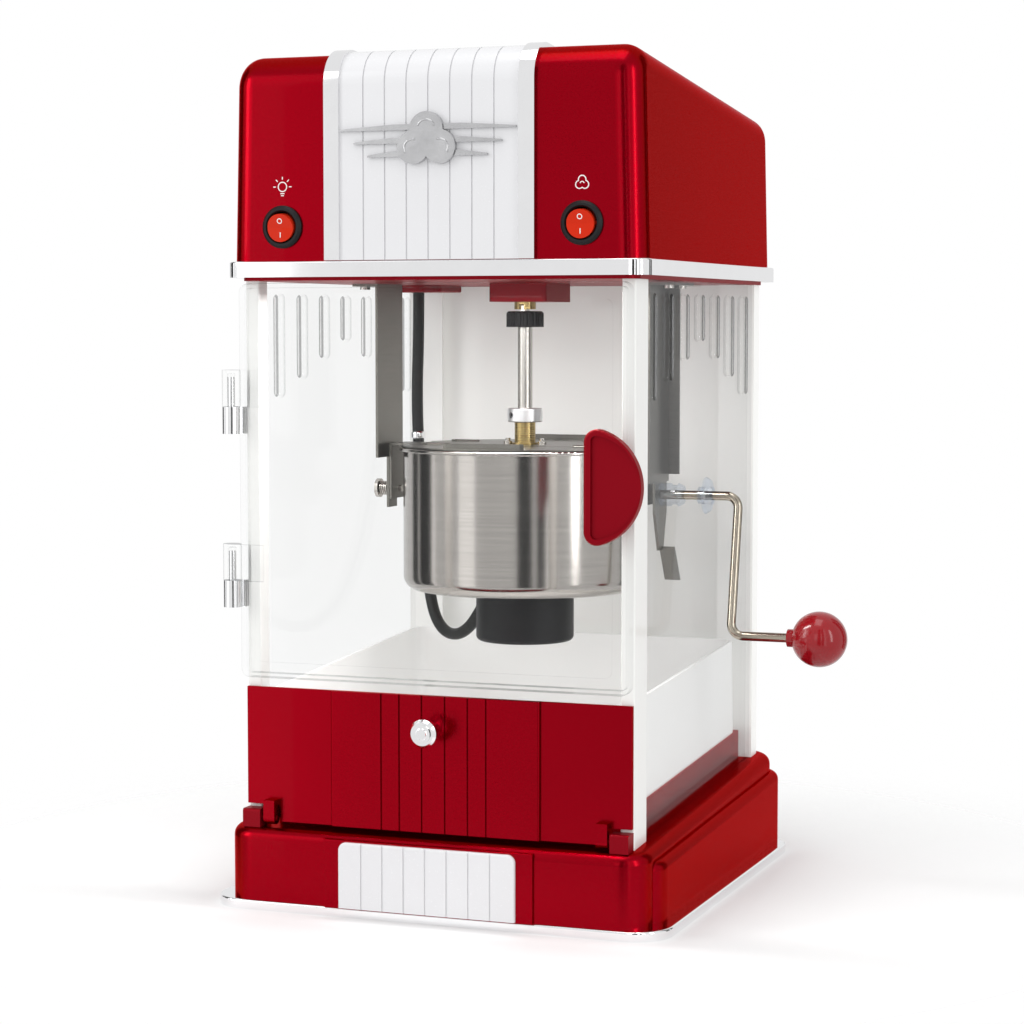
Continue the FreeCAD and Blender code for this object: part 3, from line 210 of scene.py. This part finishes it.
# %% A material under construction
class Finish:
    """A node tree that is filled one finish at a time."""

    SOCKETS = {"metallic": "Metallic", "coat": "Coat Weight", "coat_roughness": "Coat Roughness",
               "normal": "Normal", "specular": "Specular IOR Level", "edge": "Specular Tint",
               "glow": "Emission Color", "glow_strength": "Emission Strength"}

    def __init__(self, name):
        self.material = bpy.data.materials.new(name)
        self.material.use_nodes = True
        self.tree = self.material.node_tree
        self.tree.nodes.clear()

    @classmethod
    def over(cls, tree):
        """The same helper on a tree that already exists, such as the world's."""
        made = cls.__new__(cls)
        made.tree = tree
        tree.nodes.clear()
        return made

    def node(self, kind, settings=None, inputs=None, output=0):
        """Any node: settings first, then each input is given its value or its link."""
        made = self.tree.nodes.new(kind)
        for key, value in (settings or {}).items():
            setattr(made, key, value)
        for key, value in (inputs or {}).items():
            if isinstance(value, Wire):
                self.tree.links.new(value.socket, made.inputs[key])
            else:
                made.inputs[key].default_value = value
        return Wire(self, made.outputs[output]) if made.outputs else None

    def place(self, scale=(1, 1, 1)):
        """Object coordinates, drawn out or pressed together along each axis."""
        at = self.node("ShaderNodeTexCoord", output=3)
        return self.node("ShaderNodeMapping", {}, {"Vector": at, "Scale": scale})

    def noise(self, scale, detail=3.0, stretch=(1, 1, 1), roughness=0.5):
        """Soft random values from 0 to 1, with about `scale` patches to the metre."""
        return self.node("ShaderNodeTexNoise", {"noise_dimensions": "3D"},
                         {"Vector": self.place(stretch), "Scale": scale, "Detail": detail,
                          "Roughness": roughness})

    def blend(self, factor, first, second):
        """A colour between two colours."""
        return self.node("ShaderNodeMix", {"data_type": "RGBA"},
                         {0: factor, 6: (*first, 1.0), 7: (*second, 1.0)}, output=2)

    def bump(self, height, depth, strength=1.0):
        """A relief of `depth` metres where the height goes from 0 to 1."""
        return self.node("ShaderNodeBump", {},
                         {"Height": height, "Distance": depth, "Strength": strength})

    def mix(self, factor, first, second):
        """One shader shading into another."""
        return self.node("ShaderNodeMixShader", {}, {0: factor, 1: first, 2: second})

    def see_through(self, tint):
        """What lets light straight through, coloured by `tint`."""
        return self.node("ShaderNodeBsdfTransparent", {}, {"Color": (*tint, 1.0)})

    def principled(self, colour, roughness, **more):
        inputs = {"Base Color": colour if isinstance(colour, Wire) else (*colour, 1.0),
                  "Roughness": roughness}
        inputs.update({self.SOCKETS[key]: value for key, value in more.items()})
        return self.node("ShaderNodeBsdfPrincipled", {}, inputs)

    def done(self, shader):
        self.node("ShaderNodeOutputMaterial", {}, {"Surface": shader})
        return self.material


print("shader helpers ready")

# %% [markdown]
# ## Lacquered red
# The hood, the base and the drop panel are moulded plastic under a candy lacquer: a bright
# metallic ground seen through a clear, deep red. A red metal does the same, because a metal
# colours what it mirrors, so the highlights stay red where a white coat would wash them out. Only
# a trace of clear coat lies over it, and even the mirrored edge is tinted. A very fine flake keeps
# it from looking like plain paint. The door's grip is the same red with less metal in it, and the
# rockers are a plain orange-red plastic.


# %% Lacquer
def lacquer(name, light, dark, metallic, rough, coat):
    """Candy red: slow clouds of tone, fine flake and a slight orange peel in the coat."""
    f = Finish(name)
    cloud = f.noise(9.0, 2.0)
    flake = f.noise(5200.0, 1.0)
    tone = (cloud * 0.5 + flake * 0.5).clamp()
    peel = f.bump(f.noise(420.0, 1.0), 0.00002, 0.35)
    shader = f.principled(f.blend(tone, dark, light), rough + flake * 0.06,
                          metallic=metallic, coat=coat, coat_roughness=0.02, normal=peel,
                          specular=0.15, edge=(1.0, 0.06, 0.09, 1.0))
    return f.done(shader)


candy_red = lacquer("candy_red", (0.35, 0.0003, 0.009), (0.22, 0.0002, 0.004), 1.00, 0.24, 0.05)
red_satin = lacquer("red_moulding", (0.25, 0.003, 0.010), (0.19, 0.002, 0.007), 0.40, 0.32, 0.06)
rocker_red = lacquer("rocker_red", (0.62, 0.030, 0.007), (0.50, 0.018, 0.005), 0.0, 0.24, 0.15)
print("reds:", candy_red.name, red_satin.name, rocker_red.name)

# %% [markdown]
# ## White mouldings and enamel
# White plastic is never pure white: it is warmer in the thick places, carries faint flow marks
# and picks up fine dust. The posts are enamelled sheet, which has a shallow orange peel. The thin
# white back and the bin also pass on a little of the light that falls on them from outside. Real
# scattering inside such a thin wall would be slow to work out, so a small constant painted glow
# brightens them in its place: painted light, not a lamp.


# %% Whites
def white(name, light, dark, rough, peel_depth, painted_glow=0.0):
    """White plastic or enamel with slow tone changes and a shallow surface ripple.

    The last argument sets a constant painted glow, in place of the little light that a thin white
    sheet passes on from behind it.
    """
    f = Finish(name)
    cloud = f.noise(14.0, 3.0)
    grain = f.noise(900.0, 2.0)
    shader = f.principled(f.blend(cloud, dark, light), rough + grain * 0.08, coat=0.5,
                          coat_roughness=0.08, normal=f.bump(grain, peel_depth, 0.4),
                          glow=(1.0, 1.0, 0.98, 1.0), glow_strength=painted_glow)
    return f.done(shader)


white_gloss = white("white_moulding", (0.72, 0.72, 0.735), (0.66, 0.66, 0.675), 0.22, 0.00002)
white_paint = white("white_enamel", (0.84, 0.84, 0.82), (0.78, 0.78, 0.76), 0.30, 0.00003)
# The bin and the back sheet get a small painted glow that brightens them where the cabinet shades
# them.
bin_white = white("bin_plastic", (0.94, 0.94, 0.93), (0.90, 0.90, 0.89), 0.42, 0.00004, 0.10)
back_white = white("back_sheet", (0.80, 0.80, 0.78), (0.74, 0.74, 0.72), 0.30, 0.00003, 0.17)
print("whites:", white_gloss.name, white_paint.name, bin_white.name, back_white.name)

# %% [markdown]
# ## Bright metals
# Chrome needs something to mirror, and the softboxes and the cards further on give it that. A
# trace of smudge in the roughness stops it from looking like a computer's mirror. Spun and drawn
# metal has fine lines along the way it was worked: round the kettle's wall, along a rod. Noise
# that is pressed together along one axis and left long along the others draws such lines.


# %% Metals
def metal(name, light, dark, rough, spread, stretch, scale, depth=0.00001, strength=0.3):
    """Metal with tone, roughness and relief that follow lines drawn out by `stretch`."""
    f = Finish(name)
    lines = f.noise(scale, 4.0, stretch, 0.65)
    smudge = f.noise(24.0, 3.0)
    shader = f.principled(f.blend(lines, dark, light), rough + lines * spread + smudge * 0.05,
                          metallic=1.0, normal=f.bump(lines, depth, strength))
    return f.done(shader)


chrome_trim = metal("chrome_plate", (0.93, 0.93, 0.94), (0.86, 0.86, 0.87), 0.04, 0.03,
                    (1, 1, 1), 60.0)
pot_steel = metal("spun_steel", (0.50, 0.475, 0.45), (0.34, 0.32, 0.30), 0.09, 0.07,
                  (1, 1, 60), 14.0, 0.00002, 0.30)
sheet_steel = metal("galvanised_sheet", (0.24, 0.23, 0.21), (0.14, 0.135, 0.12), 0.24, 0.12,
                    (1, 1, 14), 70.0)
screw_steel = metal("plated_steel", (0.70, 0.67, 0.63), (0.50, 0.48, 0.45), 0.16, 0.10,
                    (14, 14, 1), 30.0)
brushed_alloy = metal("turned_alloy", (0.88, 0.88, 0.89), (0.74, 0.74, 0.75), 0.28, 0.12,
                      (1, 1, 40), 60.0)
emblem_metal = metal("satin_nickel", (0.62, 0.62, 0.63), (0.44, 0.44, 0.45), 0.16, 0.08,
                     (1, 1, 1), 80.0)
crank_nickel = metal("polished_nickel", (0.47, 0.42, 0.35), (0.36, 0.32, 0.26), 0.10, 0.05,
                     (1, 1, 8), 60.0)
brass = metal("turned_brass", (0.55, 0.42, 0.19), (0.36, 0.26, 0.10), 0.20, 0.12,
              (1, 1, 40), 60.0)
print("metals from", chrome_trim.name, "to", brass.name)

# %% [markdown]
# ## Black plastics, rubber and the ball
# Moulded black plastic is a very dark grey with a spark-eroded grain, and rubber is rougher.
# The crank's ball is a red phenolic resin, polished smooth. One recipe makes them all, with the
# grain's size, its depth and the coat told apart.


# %% Dark and coloured plastics
def moulded(name, light, dark, rough, scale, depth, coat=0.0):
    """Moulded plastic or rubber with an eroded grain that changes tone and relief."""
    f = Finish(name)
    grain = f.noise(scale, 3.0)
    dust = f.noise(18.0, 2.0)
    shader = f.principled(f.blend(dust, dark, light), rough + grain * 0.10, coat=coat,
                          coat_roughness=0.05, specular=0.25, normal=f.bump(grain, depth, 0.5))
    return f.done(shader)


black_plastic = moulded("black_moulding", (0.007, 0.007, 0.008), (0.004, 0.004, 0.005), 0.42,
                        1400.0, 0.00002)
black_rubber = moulded("black_rubber", (0.035, 0.035, 0.036), (0.018, 0.018, 0.019), 0.62,
                       900.0, 0.00005)
lead_sheath = moulded("lead_sheath", (0.018, 0.019, 0.018), (0.010, 0.011, 0.010), 0.40,
                      700.0, 0.00004)
gear_plastic = moulded("nylon", (0.80, 0.78, 0.72), (0.70, 0.68, 0.62), 0.42, 900.0, 0.00003)
ball_red = moulded("ball_red", (0.28, 0.005, 0.009), (0.22, 0.003, 0.007), 0.14, 300.0,
                   0.00001, 0.4)
marks_white = moulded("mark_white", (0.90, 0.89, 0.88), (0.80, 0.79, 0.78), 0.35, 500.0, 0.00001)
print("plastics from", black_plastic.name, "to", marks_white.name)

# %% [markdown]
# ## Clear acrylic
# A thin clear sheet passes most of the light straight through and mirrors a little, more at a
# glancing angle. Real refraction would need slow caustic light to reach the kettle, so the sheet
# mixes Transparent shaders with a mirror, and Layer Weight's Facing value says how far the surface
# turns away: the rim of a clear piece goes dark and its mirrored share grows. The side windows
# carry pressed drips. A real drip bends the light like a lens, so its flanks look dark and its
# crest bright. Here that is painted: how far a point stands out from the flat sheet tells flank
# from crest, and the flank gets painted shade while the crest gets a painted highlight.

# %% Clear sheets
WINDOW_OUTER = 110.7 * MM
DRIP_HEIGHT = 1.4 * MM
CLEAR_MIRROR = (0.92, 0.93, 0.95)
FLANK_PAINTED_SHADE = 0.55
CREST_PAINTED_HIGHLIGHT = 0.30


def clear(name, tint, edge_tint, haze, edge, drips_from=None):
    """Clear plastic: darker where the surface turns away, with a mirrored share that grows too.

    `drips_from` is how far out the flat outer face stands. A point's rise is its distance beyond
    that face over the drips' height: low rises get the flank's painted shade, high ones the crest's
    painted highlight.
    """
    f = Finish(name)
    facing = f.node("ShaderNodeLayerWeight", {}, {"Blend": 0.5}, output=1)
    wipe = f.noise(26.0, 3.0, (1, 1, 0.3))
    share = (facing ** 6.0 * edge + haze + wipe * 0.006).clamp()
    dark = facing ** 8.0
    if drips_from is not None:
        across = f.node("ShaderNodeSeparateXYZ", {}, {0: f.place()}, output=0)
        rise = (abs(across) - drips_from) / DRIP_HEIGHT
        # The flank starts a fortieth of the way up a drip, and the crest two thirds of the way up.
        flank = (rise * 12.0 - 0.3).clamp()
        crest = (rise * 6.0 - 3.9).clamp()
        # Painted shade on the flank and a painted highlight on the crest, set by the height alone.
        dark = dark.larger(flank * (1.0 - crest) * FLANK_PAINTED_SHADE)
        share = (share + crest * CREST_PAINTED_HIGHLIGHT).clamp()
    sheen = f.principled(CLEAR_MIRROR, 0.03 + wipe * 0.05, metallic=1.0)
    through = f.mix(dark, f.see_through(tint), f.see_through(edge_tint))
    return f.done(f.mix(share, through, sheen))


SHEET = ((0.990, 0.991, 0.990), (0.05, 0.055, 0.06), 0.008, 0.40)
clear_acrylic = clear("clear_acrylic", *SHEET)
pressed_acrylic = clear("pressed_acrylic", *SHEET, WINDOW_OUTER)
clear_tinted = clear("clear_blue", (0.90, 0.93, 0.97), (0.40, 0.46, 0.56), 0.08, 0.60)
lamp_glass = clear("lamp_glass", (0.98, 0.97, 0.95), (0.60, 0.60, 0.58), 0.06, 0.5)
print("clear finishes:", clear_acrylic.name, pressed_acrylic.name, clear_tinted.name)

# %% [markdown]
# ## Dressing the CAD parts
# Each CAD part keeps its shape and gets its finish by its material slot's name in the record. A
# few parts differ from the rest of their slot, so they are named on their own.

# %% Finishes by slot
FINISHES = {
    "candy_red": candy_red, "red_satin": red_satin, "white_gloss": white_gloss,
    "white_paint": white_paint, "bin_white": bin_white, "chrome_trim": chrome_trim,
    "chromed_plastic": chrome_trim, "clear_acrylic": clear_acrylic, "pot_steel": pot_steel,
    "sheet_steel": sheet_steel, "brushed_alloy": brushed_alloy, "brass": brass,
    "black_plastic": black_plastic, "black_rubber": black_rubber, "lead_sheath": lead_sheath,
    "gear_plastic": gear_plastic, "screw_steel": screw_steel, "ball_red": ball_red,
    "lamp_glass": lamp_glass, "clear_tinted": clear_tinted,
}
OWN_FINISH = {
    "light_rocker": rocker_red, "popper_rocker": rocker_red, "emblem": emblem_metal,
    "back_frame": back_white, "crank_rod": crank_nickel,
    "side_window_left": pressed_acrylic, "side_window_right": pressed_acrylic,
}
for part in frame["record"]["subparts"]:
    thing = nodes[part["node"]]
    thing.data.materials.clear()
    finish = OWN_FINISH.get(part["node"], FINISHES[part["material_slot"]])
    thing.data.materials.append(finish)
lead.data.materials.append(lead_sheath)

# %% [markdown]
# ## Fine round wire and raised marks
# The pivot's spring and the small raised marks are all one idea: a round section carried along a
# path. The path is a row of points. At each point the section stands square to the path, in a
# frame made from the path's direction and one fixed side direction. Working on whole rows of
# numbers at once keeps it short and fast.


# %% Wire along a path
def wire(path, radius, side, closed=False, sections=10):
    """A round tube: at path point p with direction t, the surface point at angle a is
    p plus radius times (cos a times u plus sin a times v), with u and v square to t."""
    path = np.asarray(path, float) * MM
    if closed:
        ahead = np.roll(path, -1, 0) - np.roll(path, 1, 0)
    else:
        ahead = np.gradient(path, axis=0)
    ahead /= np.linalg.norm(ahead, axis=1, keepdims=True)
    u = np.cross(ahead, np.asarray(side, float))
    u /= np.linalg.norm(u, axis=1, keepdims=True)
    v = np.cross(ahead, u)
    a = np.arange(sections) * 2 * np.pi / sections
    ring = u[:, None] * np.cos(a)[None, :, None] + v[:, None] * np.sin(a)[None, :, None]
    points = (path[:, None] + radius * MM * ring).reshape(-1, 3)
    count = len(path)
    rows = np.arange(count if closed else count - 1)[:, None] * sections
    column = np.arange(sections)[None]
    beside = (column + 1) % sections
    further = (rows + sections) % (count * sections)
    faces = np.stack([rows + column, rows + beside, further + beside, further + column], -1)
    faces = faces.reshape(-1, 4).tolist()
    if not closed:
        faces.append(list(range(sections))[::-1])
        faces.append(list(range((count - 1) * sections, count * sections)))
    return points, faces


def piece_of(name, tubes, finish, body=None):
    """One object from several tubes, riding on a body if one is named."""
    points = []
    faces = []
    start = 0
    for tube_points, tube_faces in tubes:
        points.append(tube_points)
        faces += [[i + start for i in face] for face in tube_faces]
        start += len(tube_points)
    mesh = bpy.data.meshes.new(name)
    mesh.from_pydata(np.concatenate(points).tolist(), [], faces)
    smooth(mesh)
    mesh.materials.append(finish)
    piece = add(name, mesh)
    if body:
        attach(piece, body)
    print(name, "has", len(mesh.polygons), "faces")
    return piece


# %% [markdown]
# The spring is a helix round the pivot pin: the angle grows steadily while the point moves along
# the pin. It replaces the plain rings that keep its place in the CAD model.

# %% Pivot spring
PIVOT_Y = 12.0
PIVOT_Z = 224.0
COIL_START = -90.0
COIL_LENGTH = 5.3
COIL_RADIUS = 3.6
COIL_TURNS = 4.25
COIL_WIRE = 0.6
ALONG_X = (1, 0, 0)

turn = np.linspace(0, 2 * np.pi * COIL_TURNS, 170)
spring_path = np.stack([COIL_START + COIL_LENGTH * turn / turn[-1],
                        PIVOT_Y + COIL_RADIUS * np.cos(turn),
                        PIVOT_Z + COIL_RADIUS * np.sin(turn)], 1)
spring = piece_of("pivot_coil", [wire(spring_path, COIL_WIRE, ALONG_X)], screw_steel, "kettle")
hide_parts("pivot_spring")

# %% [markdown]
# A bright ferrule sits on the lead above the kettle.

# %% Lead ferrule
FERRULE_RADIUS = 4.5
FERRULE_STEPS = (-2.0, -1.0, 0.0, 1.0, 2.0)
ALONG_Y = (0, 1, 0)

below = np.array(LEAD_ROUTE[8])
above = np.array(LEAD_ROUTE[9])
along = (above - below) / np.linalg.norm(above - below)
ferrule_path = [(below + above) / 2 + along * step for step in FERRULE_STEPS]
ferrule_tube = wire(ferrule_path, FERRULE_RADIUS, ALONG_Y, sections=32)
ferrule = piece_of("lead_ferrule", [ferrule_tube], chrome_trim)
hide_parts("lead_clip")
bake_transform(ferrule)

# %% [markdown]
# ## Marks on the switches
# Each rocker carries the usual ring for off and bar for on. The rocker is bent along its middle,
# and at rest its upper half leans by the rocker's throw, so the ring lies in that leaning plane
# and the bar stands straight below it. A circle in a leaning plane is a circle whose rise is
# shared between up and back.

# %% Switch marks
HOOD_FACE = -131.0
SWITCH_X = 85.3
SWITCH_Z = 373.2
BEND_OUT = 3.17
BEND_DOWN = 0.51
LEAN = math.radians(14.0)
RING_UP = 3.7
RING_RADIUS = 1.25
BAR_TOP = 2.4
BAR_FOOT = 5.2
RING_WIRE = 0.26
BAR_WIRE = 0.28
FRONT = (0, -1, 0)
around = np.arange(32) * 2 * np.pi / 32


def ring_path(x, y, z, radius, lean=0.0):
    """A circle in a plane that leans towards -Y by `lean` as it rises: across by cos a, and the
    sine of a is split into up by cos lean and forward by sin lean."""
    up = radius * np.sin(around)
    return np.stack([x + radius * np.cos(around), y - up * math.sin(lean),
                     z + up * math.cos(lean)], 1)


def line_path(first, last, steps=6):
    """A straight stroke: first plus (last minus first) times a share that goes from 0 to 1."""
    first = np.asarray(first, float)
    last = np.asarray(last, float)
    return first + (last - first) * np.linspace(0, 1, steps)[:, None]


bend_y = HOOD_FACE - BEND_OUT
bend_z = SWITCH_Z - BEND_DOWN
for switch, x in (("light", -SWITCH_X), ("popper", SWITCH_X)):
    off = ring_path(x, bend_y - RING_UP * math.sin(LEAN), bend_z + RING_UP * math.cos(LEAN),
                    RING_RADIUS, LEAN)
    on = line_path((x, bend_y, bend_z - BAR_TOP), (x, bend_y, bend_z - BAR_FOOT))
    piece_of(switch + "_marks", [wire(off, RING_WIRE, FRONT, True), wire(on, BAR_WIRE, FRONT)],
             marks_white, switch + "_switch")

# %% [markdown]
# ## Signs above the switches
# A small raised sign above each switch says what it works, without a word: a shining bulb for the
# lamp and a popped kernel for the kettle. The bulb is a circle with two strokes for its foot and
# five rays. The kernel's outline is a circle whose radius swells three times on the way round.

# %% Signs
SIGN_Z = SWITCH_Z + 20.5
STROKE = 0.30
BULB_UP = 1.0
BULB_RADIUS = 2.5
BULB_FEET = ((1.2, 2.6), (0.8, 3.7))
RAY_FROM = 3.9
RAY_TO = 5.4
KERNEL_RADIUS = 2.3
KERNEL_SWELL = 1.5
CURL_RADIUS = 1.1
CURL_DOWN = 0.4
CURL_WIRE = 0.28


def on_hood(x, across, up):
    """A point of a sign: `across` and `up` from its middle, on the hood's face."""
    return (x + across, HOOD_FACE, SIGN_Z + up)


def ray(angle):
    """A stroke that points away from the bulb's middle at `angle`."""
    return line_path(*[on_hood(-SWITCH_X, far * math.cos(angle), BULB_UP + far * math.sin(angle))
                       for far in (RAY_FROM, RAY_TO)])


bulb = ring_path(*on_hood(-SWITCH_X, 0.0, BULB_UP), BULB_RADIUS)
strokes = [line_path(on_hood(-SWITCH_X, -wide, -down), on_hood(-SWITCH_X, wide, -down))
           for wide, down in BULB_FEET]
strokes += [ray(angle) for angle in np.radians((0, 45, 90, 135, 180))]
piece_of("light_sign",
         [wire(bulb, STROKE, FRONT, True)] + [wire(path, STROKE, FRONT) for path in strokes],
         marks_white, "cabinet")

# The swelling is the size of a cosine that goes round one and a half times, so it peaks thrice.
fine = np.arange(60) * 2 * np.pi / 60
lobes = KERNEL_RADIUS + KERNEL_SWELL * np.abs(np.cos(1.5 * (fine - np.pi / 2)))
kernel = np.stack([SWITCH_X + lobes * np.cos(fine), np.full(len(fine), HOOD_FACE),
                   SIGN_Z + lobes * np.sin(fine)], 1)
curl = np.linspace(0.2, 2.9, 16)
inner = np.stack([SWITCH_X + CURL_RADIUS * np.cos(curl), np.full(len(curl), HOOD_FACE),
                  SIGN_Z - CURL_DOWN + CURL_RADIUS * np.sin(curl)], 1)
piece_of("popper_sign", [wire(kernel, STROKE, FRONT, True), wire(inner, CURL_WIRE, FRONT)],
         marks_white, "cabinet")

# %% [markdown]
# The ornament on the hood is a popped kernel between plain bars. Three raised folds, each a bow
# inside one of its lobes, make it read as a kernel.

# %% Folds on the ornament
FOLD_Y = -135.4
FOLD_Z = 417.0
FOLD_WIRE = 0.55
FOLDS = ((-7.8, -3.6, 0.9, 4.6), (7.8, -3.6, -0.9, 4.6), (0.0, 6.2, 0.0, 5.0))
bow = np.linspace(0.35, 2.8, 18)


def fold(across, up, turned, size):
    """A bow: part of a circle of radius `size`, turned by `turned` about its own middle."""
    return np.stack([across + size * np.cos(bow + turned), np.full(len(bow), FOLD_Y),
                     FOLD_Z + up + size * np.sin(bow + turned)], 1)


piece_of("emblem_folds", [wire(fold(*row), FOLD_WIRE, FRONT) for row in FOLDS], emblem_metal,
         "cabinet")

# %% [markdown]
# ## Floor and light
# The machine stands on white paper in a white room. The paper is solid under the machine, where
# it takes the soft contact shadow, and fades out into the white beyond it, so no horizon shows.
# The fade follows the distance from the middle, eased at both ends by a smooth step.

# %% Floor
FLOOR_NEAR = 0.17
FLOOR_FAR = 0.46
FLOOR_REACH = 0.6
FLOOR_SIDES = 64
PAPER = (0.86, 0.86, 0.86)

rim_angles = np.arange(FLOOR_SIDES) * 2 * np.pi / FLOOR_SIDES
floor_rim = np.stack([FLOOR_REACH * np.cos(rim_angles), FLOOR_REACH * np.sin(rim_angles),
                      np.zeros(FLOOR_SIDES)], 1)
floor_mesh = bpy.data.meshes.new("floor")
floor_mesh.from_pydata(floor_rim.tolist(), [], [list(range(FLOOR_SIDES))])
floor = add("floor", floor_mesh)
pale = Finish("pale_floor")
away = pale.node("ShaderNodeVectorMath", {"operation": "LENGTH"}, {0: pale.place()}, output=1)
fade = pale.node("ShaderNodeMapRange", {"interpolation_type": "SMOOTHSTEP"},
                 {"Value": away, "From Min": FLOOR_NEAR, "From Max": FLOOR_FAR})
paper = pale.principled(PAPER, 0.7, specular=0.2)
floor_mesh.materials.append(pale.done(pale.mix(fade, paper, pale.see_through((1.0, 1.0, 1.0)))))
print("floor fades from", FLOOR_NEAR, "to", FLOOR_FAR)

# %% [markdown]
# One large softbox stands on the left, a tall strip on the right, and a broad light above. A weak
# one in front lifts the shadows, and a thin one under the hood lights the cabinet, as the
# machine's own lamp does.


# %% Lights
def softbox(name, place, aim, width, height, power):
    """A rectangular light that points at `aim` and isn't itself seen by the camera."""
    data = bpy.data.lights.new(name, "AREA")
    data.shape = "RECTANGLE"
    data.size = width
    data.size_y = height
    data.energy = power
    lamp = add(name, data)
    lamp.location = place
    lamp.rotation_euler = (Vector(aim) - Vector(place)).to_track_quat("-Z", "Y").to_euler()
    lamp.visible_camera = False
    print(name, "gives", power, "W")


softbox("left_softbox", (-1.6, -1.3, 1.0), (0, 0, 0.25), 0.6, 1.2, 10)
softbox("right_strip", (1.7, -0.7, 0.7), (0, 0, 0.25), 0.25, 1.4, 6)
softbox("top_light", (0, -0.3, 1.9), (0, 0, 0.2), 1.0, 1.0, 7)
softbox("front_fill", (0.5, -1.9, 0.7), (0, 0, 0.2), 1.2, 0.9, 3)
softbox("cabinet_lamp", (0.0, -0.097, 0.338), (0.0, -0.096, 0.0), 0.17, 0.03, 0.46)

# %% [markdown]
# Polished metal shows the room, not itself. In a plain white room it looks like grey paint, so a
# studio stands narrow black and white cards round the set. These cards are seen only by mirrored
# light: they cast no shadow and the camera looks through them. Each one covers a span of
# angles round the machine, counted from the camera's side, with minus towards the left, and has
# a brightness from near black to brighter than the room.

# %% Cards for the metals to mirror
CARD_LOW = -0.3
CARD_HIGH = 1.5
CARD_REACH = 1.3
CARDS = ((-130, -119, 0.04), (-116, -98, 0.02), (-96, -92, 1.5), (-64, -47, 1.7), (-7, 6, 0.02),
         (11, 18, 0.05), (20, 27, 1.8), (100, 114, 0.04), (118, 128, 0.06))


def card(name, first, last, brightness):
    """An upright card between two angles round the machine."""
    ends = [CAMERA_ROUND + math.radians(angle) for angle in (first, last)]
    (x0, y0), (x1, y1) = [(CARD_REACH * math.sin(a), -CARD_REACH * math.cos(a)) for a in ends]
    corners = [(x0, y0, CARD_LOW), (x1, y1, CARD_LOW), (x1, y1, CARD_HIGH), (x0, y0, CARD_HIGH)]
    mesh = bpy.data.meshes.new(name)
    mesh.from_pydata(corners, [], [(0, 1, 2, 3)])
    f = Finish(name)
    glow = f.node("ShaderNodeEmission", {}, {"Color": (1, 1, 1, 1), "Strength": brightness})
    mesh.materials.append(f.done(glow))
    thing = add(name, mesh)
    thing.visible_camera = False
    thing.visible_diffuse = False
    thing.visible_shadow = False
    thing.visible_transmission = False
    thing.visible_volume_scatter = False


for i, row in enumerate(CARDS):
    card(f"card_{i}", *row)
print(len(CARDS), "cards round the set")

# %% [markdown]
# The white world is full strength where the camera sees it, and a tenth weaker as the light that
# fills the shadows, so that the softboxes still shape the forms. Where metal mirrors it, it is
# weaker again. Light Path tells these rays apart.

# %% World
FILL = 0.90
SEEN_MORE = 0.10
MIRRORED_LESS = 0.05

world = bpy.data.worlds.new("studio")
world.use_nodes = True
room = Finish.over(world.node_tree)
seen = room.node("ShaderNodeLightPath", output=0)
mirrored = room.node("ShaderNodeLightPath", output=3)
strength = FILL + seen * SEEN_MORE - mirrored * MIRRORED_LESS
sky = room.node("ShaderNodeBackground", {}, {"Color": (1.0, 1.0, 1.0, 1.0), "Strength": strength})
room.node("ShaderNodeOutputWorld", {}, {"Surface": sky})
bpy.context.scene.world = world
bpy.context.scene.view_settings.view_transform = "Standard"
print("the world fills with", FILL)
